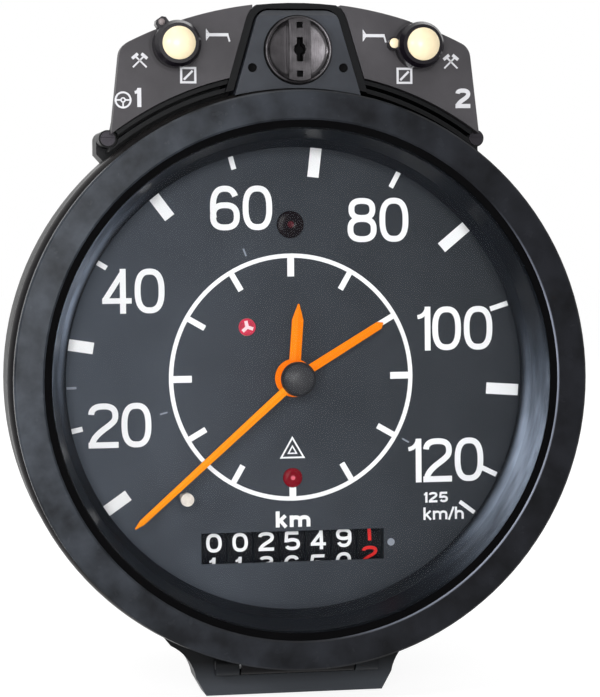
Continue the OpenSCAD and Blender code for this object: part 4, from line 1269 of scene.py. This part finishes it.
@dataclass
class HandFace:
    """The raised face of a hand, a low roof along its blade.

    Args:
        name: the piece's name.
        body: the CAD body that it rides on.
        angle: clock angle at rest.
        depth: depth of the blade's upper side.
        stations: (distance from the axis, half width) along the blade.
        ridge: height of the roof's ridge.
        finish: its paint.
        slot: the record's material slot.
        eave, foot: heights of the roof's edge and of the skirt's foot below it.
        hip: height halfway to the ridge, as a share of the ridge's.
        least: share of the height that is kept where the blade is narrow.
    """

    name: str
    body: str
    angle: float
    depth: float
    stations: tuple[Point, ...]
    ridge: float
    finish: Finish
    slot: str
    eave: float = 0.02
    foot: float = -0.05
    hip: float = 0.62
    least: float = 0.15

    def build(self) -> None:
        """Builds the roof.

        At distance s along the blade the section runs from one edge over the ridge to the other: half
        widths minus w, minus half w, 0, half w and w, at heights that rise towards the middle.
        """
        along, half = np.array(self.stations).T
        across = np.array([-1.0, -1.0, -0.5, 0.0, 0.5, 1.0, 1.0])
        hip = self.hip * self.ridge
        height = np.array([self.foot, self.eave, hip, self.ridge, hip, self.eave, self.foot])
        share = np.clip(half / half.max(), self.least, 1.0)
        t = half[:, None] * across
        s = np.broadcast_to(along[:, None], t.shape)
        h = np.where(height > self.eave, height * share[:, None], height)
        turn = math.radians(self.angle)
        flat = np.stack([s * math.sin(turn) + t * math.cos(turn),
                         s * math.cos(turn) - t * math.sin(turn), h], axis=-1)
        skin = Skin()
        skin.grid(facing(self.depth)(flat), wrap_columns=True, cap_ends=True)
        skin.piece(self.name, self.body, (self.finish,), crease=14.0, slot=self.slot)


@dataclass
class Hands:
    """The faces of the three hands and the cap over their hub."""

    hour_depth: float = DIAL_DEPTH + 3.8
    minute_depth: float = DIAL_DEPTH + 6.0
    pointer_depth: float = DIAL_DEPTH + 9.7
    hub_radius: float = 4.8
    hub_side: float = 1.3
    hub_rise: float = 2.7
    hub_height: float = 4.0

    def build(self) -> None:
        """Builds the hands from the lowest to the highest, then the cap."""
        HandFace("hour_hand_face", "hour", angle=4.25, depth=self.hour_depth, ridge=0.42,
                 stations=((4.9, 1.58), (16.1, 1.58), (18.4, 0.9), (20.5, 0.12)),
                 finish=HAND_RIDGE, slot="hand_orange").build()
        HandFace("minute_hand_face", "minute", angle=59.0, depth=self.minute_depth, ridge=0.36,
                 stations=((3.7, 1.24), (16.0, 1.17), (27.8, 1.08), (28.5, 0.6), (29.0, 0.12)),
                 finish=HAND_RIDGE, slot="hand_orange").build()
        HandFace("speed_pointer_face", "pointer", angle=-131.45, depth=self.pointer_depth, ridge=0.34,
                 stations=((4.0, 1.13), (30.0, 0.97), (58.1, 0.78), (59.6, 0.42), (60.6, 0.1)),
                 finish=POINTER_RIDGE, slot="pointer_orange").build()
        self._cap()

    def _cap(self) -> None:
        """Turns the hub cap: a straight side, a quarter-ellipse shoulder and a shallow crown."""
        r, foot = self.hub_radius, self.pointer_depth
        shoulder = dome(r, foot + self.hub_side, self.hub_rise, 88, 16, 0.9)
        skin = Skin()
        skin.turn([(0.0, foot - 0.02), (r - 0.15, foot - 0.02), (r, foot + 0.12), *shoulder,
                   (0.0, foot + self.hub_height)])
        skin.piece("hub_cap_turned", "pointer", (FINISHES["hub_black"],), slot="hub_black",
                   replaces=("hub_cap",))


@dataclass
class IndicatorMark:
    """The three white blades on the run indicator's red disc, which show that it turns."""

    centre: Point = (-12.4, 14.2)
    depth: float = DIAL_DEPTH - 0.2
    reach: float = 1.75
    weight: float = 0.95
    turn: float = -12.0

    def build(self) -> None:
        """Prints the blades, each a straight stroke out from the middle."""
        ink = Printing(facing(self.depth), face=0.04)
        blades = [Stroke(legs((0.0, 0.0), clock(self.reach, angle)), self.weight) for angle in THIRDS]
        ink.draw(blades, self.centre, turn=self.turn)
        ink.skin.piece("run_indicator_mark", "indicator", (PRINT_PINK,), slot="scale_white")


@dataclass
class SignalLenses:
    """The two signal lenses, turned with a flange behind the dial and a low dome in front."""

    lenses: tuple[Triple, ...] = ((0.0, 42.6, 3.8), (0.0, -28.1, 2.7))
    back: float = 10.2
    flange: float = 0.7
    flange_face: float = 11.0
    dome_foot: float = DIAL_DEPTH + 0.25
    dome_rise: float = 0.55
    mouth: Point = (0.24, DIAL_DEPTH + 0.7)
    well: Point = (0.16, DIAL_DEPTH + 0.5)
    floor: float = DIAL_DEPTH + 0.45

    def build(self) -> None:
        """Turns both lenses: the body with its dome, and a paler well, a painted highlight on the lower
        lens.
        """
        skin = Skin()
        for k, (u, v, r) in enumerate(self.lenses):
            mouth, well = ((share * r, depth) for share, depth in (self.mouth, self.well))
            flange = [(0.0, self.back), (r + self.flange, self.back), (r + self.flange, self.flange_face),
                      (r, self.flange_face)]
            skin.turn([*flange, *dome(r, self.dome_foot, self.dome_rise, 60), mouth], (u, v), 64, 2 * k)
            skin.turn([mouth, well, (0.0, self.floor)], (u, v), 64, 2 * k + 1)
        # The lower lens's pale well is a painted highlight
        inks = (LENS_DARK, LENS_HEART, FINISHES["lens_red"], LENS_PAINTED_HIGHLIGHT)
        skin.piece("signal_lenses_turned", "lid", inks, slot="lens_red", replaces=("signal_lenses",))


@dataclass
class ModeCap:
    """The cream cap of a mode knob, and the dot on its nib.

    Args:
        side: minus 1 for the left knob and 1 for the right.
        rest: clock angle of the nib at rest.
        dot_radius: radius of the dot.
        dot_finish: its finish.
        knob_at: axis of the right knob; the rest are the cap's and the dot's sizes.
    """

    side: int
    rest: float
    dot_radius: float
    dot_finish: Finish
    knob_at: Point = (33.5, 91.2)
    radius: float = 4.45
    foot: float = 32.75
    height: float = 2.7
    edge: float = 0.6
    dot_at: float = 7.2
    dot_rise: float = 0.38
    nib_depth: float = 29.15

    def build(self) -> None:
        """Turns the cap as a straight edge and a spherical crown, and the dot as a small dome."""
        u, v = self.side * self.knob_at[0], self.knob_at[1]
        rise = self.height - self.edge
        ball = (self.radius**2 + rise**2) / (2 * rise)
        angle = np.linspace(math.asin(self.radius / ball), 0, 18)
        crown = zip(ball * np.sin(angle), self.foot + self.height - ball * (1 - np.cos(angle)))
        skin = Skin()
        skin.turn([(0.0, self.foot - 0.03), (self.radius - 0.1, self.foot - 0.03),
                   (self.radius, self.foot + 0.1), *crown], (u, v), 72)
        du, dv = clock(self.dot_at, self.rest)
        back = self.nib_depth - 0.05
        skin.turn([(0.0, back), (self.dot_radius, back),
                   *dome(self.dot_radius, self.nib_depth, self.dot_rise)], (u + du, v + dv), 28, 1)
        word = "left" if self.side < 0 else "right"
        skin.piece(f"mode_cap_{word}_turned", f"{word}_knob", (FINISHES["cap_cream"], self.dot_finish),
                   slot="cap_cream", replaces=(f"mode_cap_{word}",))


def eased(x: Array, edge: float, soft: float) -> Array:
    """Smooth step from 0 to 1 as x passes an edge.

    It is 3 t squared less 2 t cubed, where t runs from 0 to 1 over the soft width about the edge.

    Args:
        x: the values.
        edge: the step's middle.
        soft: its width.

    Returns:
        The step at each value.
    """
    t = np.clip((x - edge) / soft + 0.5, 0, 1)
    return t * t * (3 - 2 * t)


@dataclass
class LockRotor:
    """The lock's rotor: a rim, two dished sides and a raised grip bar with its key slot.

    The key slot and the hole in its middle sink by key_depth. Two square pockets lie above and below,
    pocket_at from the axis. The hem is how far the sculpted face goes down into the body.
    """

    height: float = 89.9
    radius: float = 9.2
    face: float = 27.5
    back: float = 24.5
    shaft_radius: float = 4.0
    shaft_back: float = 16.5
    grip_half: float = 3.3
    grip_rise: float = 1.9
    dish: float = 1.5
    key_half: Point = (0.72, 3.1)
    key_hole: float = 1.5
    key_depth: float = 2.6
    pocket_half: float = 0.75
    pocket_at: float = 6.6
    pocket_depth: float = 1.1
    hem: float = 2.2

    def _relief(self, u: Array, v: Array) -> tuple[Array, Array]:
        """Works out the height of the rotor's face.

        It is the sum of the bar, raised with steep sides where u is inside the grip's half width; the
        dish, which falls with the square of the distance inside the rim and outside the bar; and the
        key slot and the two square pockets, which sink into the bar.

        Args:
            u, v: places on the face.

        Returns:
            Heights over the rotor's face, and where it is sunk into the slot or a pocket.
        """
        inner = self.radius - 0.9
        bar = eased(self.grip_half - np.abs(u), 0.15, 0.3)
        shoulder = 1 - 0.16 * (np.abs(v) / inner) ** 4
        bowl = np.clip(1 - (u**2 + v**2) / inner**2, 0, 1) ** 0.45
        slot = (eased(self.key_half[0] - np.abs(u), 0.0, 0.25)
                * eased(self.key_half[1] - np.abs(v), 0.0, 0.3))
        hole = eased(self.key_hole - np.hypot(u, v), 0.0, 0.3)
        pocket = (eased(self.pocket_half - np.abs(u), 0.0, 0.2)
                  * eased(self.pocket_half - np.abs(np.abs(v) - self.pocket_at), 0.0, 0.2))
        sunk = np.maximum(np.maximum(slot, hole) * self.key_depth, pocket * self.pocket_depth)
        return bar * (self.grip_rise * shoulder - sunk) - (1 - bar) * self.dish * bowl, sunk > 0.25

    def _lines(self, reach: float) -> tuple[Array, Array]:
        """Spaces the lines of the face's grid, closer at the edges of the bar, the slot and the pockets.

        Args:
            reach: radius of the face.

        Returns:
            Places across the rotor, and places along a chord as shares of its half length.
        """
        sides = (-1, 1)
        edges = (self.grip_half - 0.25, self.key_half[0], self.key_hole)
        close = [e * s + d for e in edges for s in sides for d in np.linspace(-0.36, 0.36, 9)]
        across = np.unique(np.round(np.concatenate([np.linspace(-1, 1, 61) * reach, close]), 4))
        ends = (self.key_half[1], self.pocket_at - self.pocket_half, self.pocket_at + self.pocket_half)
        close = [(s * e + d) / reach for e in ends for s in sides for d in np.linspace(-0.3, 0.3, 7)]
        share = np.unique(np.concatenate([np.linspace(-1, 1, 57), close]))
        return across, share[np.abs(share) <= 1]

    def build(self) -> None:
        """Builds the sculpted face on its own chords, and the turned body with its rim and shaft.

        The face's first parameter runs across the rotor and the second along the chord there. The
        chord's ends go down into the body, so the face is closed below.
        """
        reach = self.radius - 0.75
        u, share = self._lines(reach)
        v = np.sqrt(np.clip(reach**2 - u**2, 0, None))[:, None] * share
        u = np.broadcast_to(u[:, None], v.shape)
        height, pit = self._relief(u, v)
        top = np.stack([u, v, height], axis=-1)
        low = top[:, [0, -1]].copy()
        low[..., 2] = -self.hem
        flat = np.concatenate([low[:, :1], top, low[:, 1:]], axis=1)
        flat[..., 1] += self.height
        # Painted shade: faces sunk into the key slot and the pockets take the near-black ink
        dark = np.pad(pit[:-1, :-1] & pit[1:, 1:], ((0, 0), (1, 2))).astype(int)
        skin = Skin()
        skin.grid(facing(self.face)(flat), wrap_columns=True, ink=dark)
        f, r = self.face, self.radius
        skin.turn([(0.0, self.shaft_back), (self.shaft_radius, self.shaft_back),
                   (self.shaft_radius, self.back), (r - 0.15, self.back), (r, self.back + 0.15),
                   (r, f - 0.15), (r - 0.12, f + 0.06), (r - 0.35, f + 0.14), (r - 0.6, f + 0.1),
                   (r - 0.82, f - 0.12), (r - 0.95, f - 0.6), (0.0, f - 2.0)], (0.0, self.height))
        skin.piece("lock_rotor_sculpted", "lock", (FINISHES["rotor_black"], PAINTED_PIT_SHADE), crease=28.0,
                   slot="rotor_black", replaces=("lock_rotor",))


@dataclass
class PlatePits:
    """Painted shade: near-black, dished bottoms in the two pits drilled in the lock plate."""

    across: float = 12.6
    height: float = 85.1
    face: float = 26.3
    radius: float = 1.2
    depth: float = 0.59
    lip: float = 0.06
    dish: float = 0.34

    def build(self) -> None:
        """Turns both bottoms: a straight side, and a hollow that rises with the square of the radius."""
        floor = self.face - self.depth
        share = np.linspace(1, 0, 8)
        hollow = list(zip(self.radius * share, floor + self.lip + self.dish * share**2))
        skin = Skin()
        for side in (-1, 1):
            skin.turn([(0.0, floor), (self.radius, floor), *hollow], (side * self.across, self.height), 32)
        skin.piece("lock_plate_pit_shades", "lid", (PAINTED_PIT_SHADE,), slot="lock_plate_slate")


@dataclass
class ChartPrint:
    """The print on the rear chart: time ring, speed rings and hour numbers."""

    depth: float = -17.2
    rings: tuple[float, ...] = (59.6, 56.4, 50.2, 43.9, 37.7, 31.2, 24.8, 15.2)
    numbers: Lettering = Lettering(2.6, 1.75, 0.34, 2.3)
    numbers_at: float = 51.6
    step: float = 2.1
    ring_weight: float = 0.22
    hour_weight: float = 0.16
    tick_weight: float = 0.14
    ticks: int = 288
    tick_lengths: Point = (1.6, 2.6)

    def build(self) -> None:
        """Prints the side of the chart that the styluses scratch."""
        ink = Printing(facing_back(self.depth), foot=-0.01, face=0.02)
        ink.draw([Stroke(bow((0, 0), (r, r), 0, 357.5, steps=143), self.ring_weight, True)
                  for r in self.rings])
        time, top, low = self.rings[0], self.rings[1], self.rings[-2]
        ink.draw([Stroke(legs(clock(low, 15 * hour), clock(top, 15 * hour)), self.hour_weight)
                  for hour in range(24)])
        for k in range(self.ticks):
            angle = 360 * k / self.ticks
            length = self.tick_lengths[0 if k % 3 else 1]
            ink.draw([Stroke(legs(clock(time - length, angle), clock(time, angle)), self.tick_weight)])
        for hour in range(1, 25):
            self._hour(ink, hour)
        ink.skin.piece("chart_print", "spindle", (PRINT_CHART,), slot="chart_card")

    def _hour(self, ink: Printing, hour: int) -> None:
        """Prints one hour's number upright towards the rim.

        Args:
            ink: the printing to add to.
            hour: the hour.
        """
        text, angle = str(hour), 15 * hour
        u, v = clock(self.numbers_at, angle)
        for k, digit in enumerate(text):
            du, dv = clock((k - (len(text) - 1) / 2) * self.step, angle + 90)
            ink.draw(self.numbers.digit(int(digit)), (u + du, v + dv), turn=angle)


@dataclass
class Stud:
    """A threaded stud: a helical thread along a bar, with a chamfered end.

    Args:
        at: its axis in the front view.
        radius: outer radius of the thread.
        pitch: distance between two turns.
        start, end: depths of the thread's root and tip behind the panel, as positive distances.
        foot: profile below the thread, as (radius, distance behind the panel).
        groove: depth of the thread, as a share of the pitch.
        chamfer: length and depth of the chamfer, as shares of the pitch.
        rows: rows of points along one pitch.
        columns: points round it.
    """

    at: Point
    radius: float
    pitch: float
    start: float
    end: float
    foot: tuple[Point, ...]
    groove: float = 0.61
    chamfer: Point = (0.8, 0.6)
    rows: int = 8
    columns: int = 40

    def surface(self) -> Array:
        """Works out the surface of the thread.

        At distance s along the stud and angle a round it, the radius is the outer one less the
        thread's depth times a triangle wave of s over the pitch minus a over the full turn. The first
        and the last pitch run out into the bar, and the chamfer is taken off in proportion to s.

        Returns:
            Points in metres, shaped (steps along, steps round, 3).
        """
        steps = int((self.end - self.start) / self.pitch * self.rows) + 1
        s = np.linspace(self.start, self.end, steps)[:, None]
        angle = np.arange(self.columns) * 2 * np.pi / self.columns
        phase = (s / self.pitch - angle / (2 * np.pi)) % 1.0
        groove = 1 - np.abs(2 * phase - 1)
        inside = np.clip(np.minimum(s - self.start, self.end - s) / self.pitch, 0, 1)
        length, depth = (share * self.pitch for share in self.chamfer)
        radius = self.radius - self.groove * self.pitch * groove * inside
        radius -= np.clip(1 - (self.end - s) / length, 0, 1) * depth
        x = self.at[0] + radius * np.sin(angle)
        z = self.at[1] + radius * np.cos(angle)
        return np.stack([x, np.broadcast_to(s, x.shape), z], axis=-1) * MM

    def add(self, skin: Skin) -> None:
        """Adds the stud's foot, its thread and its flat end to a skin.

        Args:
            skin: the skin to add to.
        """
        foot = turned([(r, -d) for r, d in self.foot], self.at, self.columns)
        end = turned([(0.0, -self.end)], self.at, self.columns)
        skin.grid(np.concatenate([foot, self.surface(), end]), wrap_columns=True)


@dataclass
class RearStuds:
    """The two clamp studs behind the rear cover."""

    spacing: float = 90.0
    height: float = -20.0
    radius: float = 3.0
    pitch: float = 1.0
    neck: float = 2.6
    head: Point = (5.5, 2.0)
    cover: float = 92.0
    cover_back: float = 94.0
    run_in: float = 0.4
    tip: float = 114.0

    def build(self) -> None:
        """Builds both studs with their heads inside the cover."""
        skin = Skin()
        wide, thick = self.head
        foot = ((0.0, self.cover - thick), (wide, self.cover - thick), (wide, self.cover),
                (self.neck, self.cover), (self.neck, self.cover_back), (self.radius, self.cover_back))
        for side in (-1, 1):
            Stud((side * self.spacing / 2, self.height), self.radius, self.pitch,
                 self.cover_back + self.run_in, self.tip, foot).add(skin)
        skin.piece("clamp_studs_threaded", "case", (FINISHES["zinc_steel"],), crease=24.0,
                   slot="zinc_steel", replaces=("clamp_studs",))


@dataclass
class Dressing:
    """Puts each CAD node's finish on it, by the record's material slots."""

    frame: dict

    def build(self) -> None:
        """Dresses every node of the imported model."""
        for row in self.frame["record"]["subparts"]:
            node = self.frame["nodes"][row["node"]]
            node.data.materials.clear()
            node.data.materials.append(FINISHES[row["material_slot"]].material())
            LOG.info("%s: finish %s", row["node"], row["material_slot"])


# Camera and studio


@dataclass
class PhotoCamera:
    """The camera at the photograph's angle, slightly to the left and above.

    Args:
        place: its position in millimetres.
        target: the point at the middle of the frame.
        roll: turn about the line of sight, in degrees.
        lens: focal length in millimetres.
        frame: height of the frame that it goes with.
        clip: nearest and farthest distance that shows, in metres.
    """

    place: Triple = (-126.19, -706.60, 36.88)
    target: Triple = (2.438, -12.0, 8.002)
    roll: float = -0.544
    lens: float = 130.77
    frame: float = 36.0
    clip: Point = (0.01, 20.0)

    def build(self) -> None:
        """Makes the camera and gives it to the scene."""
        eye, aim = Vector(self.place) * MM, Vector(self.target) * MM
        ahead = (aim - eye).normalized()
        right = ahead.cross(Vector((0, 0, 1))).normalized()
        up = right.cross(ahead)
        c, s = math.cos(math.radians(self.roll)), math.sin(math.radians(self.roll))
        right, up = right * c + up * s, up * c - right * s
        data = bpy.data.cameras.new("photo_camera")
        data.lens = self.lens
        data.sensor_width = self.frame
        data.clip_start, data.clip_end = self.clip
        camera = bpy.data.objects.new("photo_camera", data)
        turn = Matrix((right, up, -ahead)).transposed().to_4x4()
        camera.matrix_world = Matrix.Translation(eye) @ turn
        bpy.context.scene.collection.objects.link(camera)
        bpy.context.scene.camera = camera


@dataclass
class Studio:
    """A pale floor under the instrument, a white surround and soft lamps.

    Args:
        floor_height: height of the floor.
        floor_half: half its side.
        floor_grey: its colour.
        floor_roughness: its roughness.
        floor_glow: strength at which it shows to the camera, to gloss and to glass.
        glow_share: share of that strength in what they see.
        surround: grey of the surround as a light.
        lamps: name, place in metres, diameter and power of each lamp.
    """

    floor_height: float = -89.0
    floor_half: float = 6000.0
    floor_grey: float = 0.8
    floor_roughness: float = 0.9
    floor_glow: float = 1.36
    glow_share: float = 0.65
    surround: float = 0.32
    lamps: tuple[tuple[str, Triple, float, float], ...] = (
        ("key", (-0.18, -0.85, 0.12), 0.45, 5.0),
        ("streak", (-0.42, -0.30, 0.16), 0.08, 0.8),
        ("fill", (1.15, -1.15, 0.35), 0.9, 1.0),
        ("top", (-0.3, -0.1, 1.5), 1.0, 5.0),
        ("rear", (0.2, 1.5, 0.9), 1.2, 6.0))

    def build(self) -> None:
        """Builds the surround, the floor and the lamps."""
        scene = bpy.context.scene
        scene.view_settings.view_transform = "Standard"
        scene.world = self._surround()
        self._floor()
        for name, place, size, power in self.lamps:
            data = bpy.data.lights.new(name, "AREA")
            data.shape, data.size, data.energy = "DISK", size, power
            lamp = bpy.data.objects.new(name, data)
            lamp.location = place
            lamp.rotation_euler = (-Vector(place)).to_track_quat("-Z", "Y").to_euler()
            scene.collection.objects.link(lamp)

    def _surround(self) -> bpy.types.World:
        """Makes a world that is white to the camera, to gloss and to glass, and pale grey as a light.

        Returns:
            The world.
        """
        world = bpy.data.worlds.new("surround")
        world.use_nodes = True
        wires = Wiring(world.node_tree)
        grey = (self.surround, self.surround, self.surround, 1.0)
        shown = wires.mix(wires.seen(), grey, (1.0, 1.0, 1.0, 1.0))
        wires.feed(wires.tree.nodes["Background"], {"Color": shown})
        return world

    def _floor(self) -> None:
        """Lays a large pale floor that keeps the object's shadow and shows nearly white."""
        half, height = self.floor_half * MM, self.floor_height * MM
        mesh = bpy.data.meshes.new("floor")
        corners = [(u * half, v * half, height) for u, v in ((-1, -1), (1, -1), (1, 1), (-1, 1))]
        mesh.from_pydata(corners, [], [(0, 1, 2, 3)])
        material = bpy.data.materials.new("floor_pale")
        material.use_nodes = True
        wires = Wiring(material.node_tree)
        shader = wires.tree.nodes["Principled BSDF"]
        grey = (self.floor_grey, self.floor_grey, self.floor_grey, 1.0)
        wires.feed(shader, {"Base Color": grey, "Roughness": self.floor_roughness})
        shown = {"Fac": wires.calc("MULTIPLY", wires.seen(), self.glow_share), 1: shader.outputs["BSDF"],
                 2: wires.add("Emission", "Emission", {"Strength": self.floor_glow})}
        wires.feed(wires.tree.nodes["Material Output"], {"Surface": wires.add("MixShader", "Shader", shown)})
        mesh.materials.append(material)
        floor = bpy.data.objects.new("floor", mesh)
        bpy.context.scene.collection.objects.link(floor)


def main(frame: dict) -> None:
    """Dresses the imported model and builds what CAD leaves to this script.
    """
    logging.basicConfig(level=logging.INFO, format="%(name)s: %(message)s")
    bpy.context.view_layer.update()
    # Painted shade: the left dot is greyer than the right one
    left_cap = ModeCap(side=-1, rest=-35.0, dot_radius=0.9, dot_finish=DOT_SHADED)
    right_cap = ModeCap(side=1, rest=-86.0, dot_radius=1.35, dot_finish=FINISHES["cap_cream"])
    for part in (PhotoCamera(), Studio(), Dressing(frame), DialPrint(), CheekSigns(), CounterDigits(),
                 Hands(), SignalLenses(), IndicatorMark(), left_cap, right_cap, LockRotor(), PlatePits(),
                 ChartPrint(), RearStuds()):
        LOG.info("building %s", type(part).__name__)
        part.build()


if __name__ == "__main__":
    main(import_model())
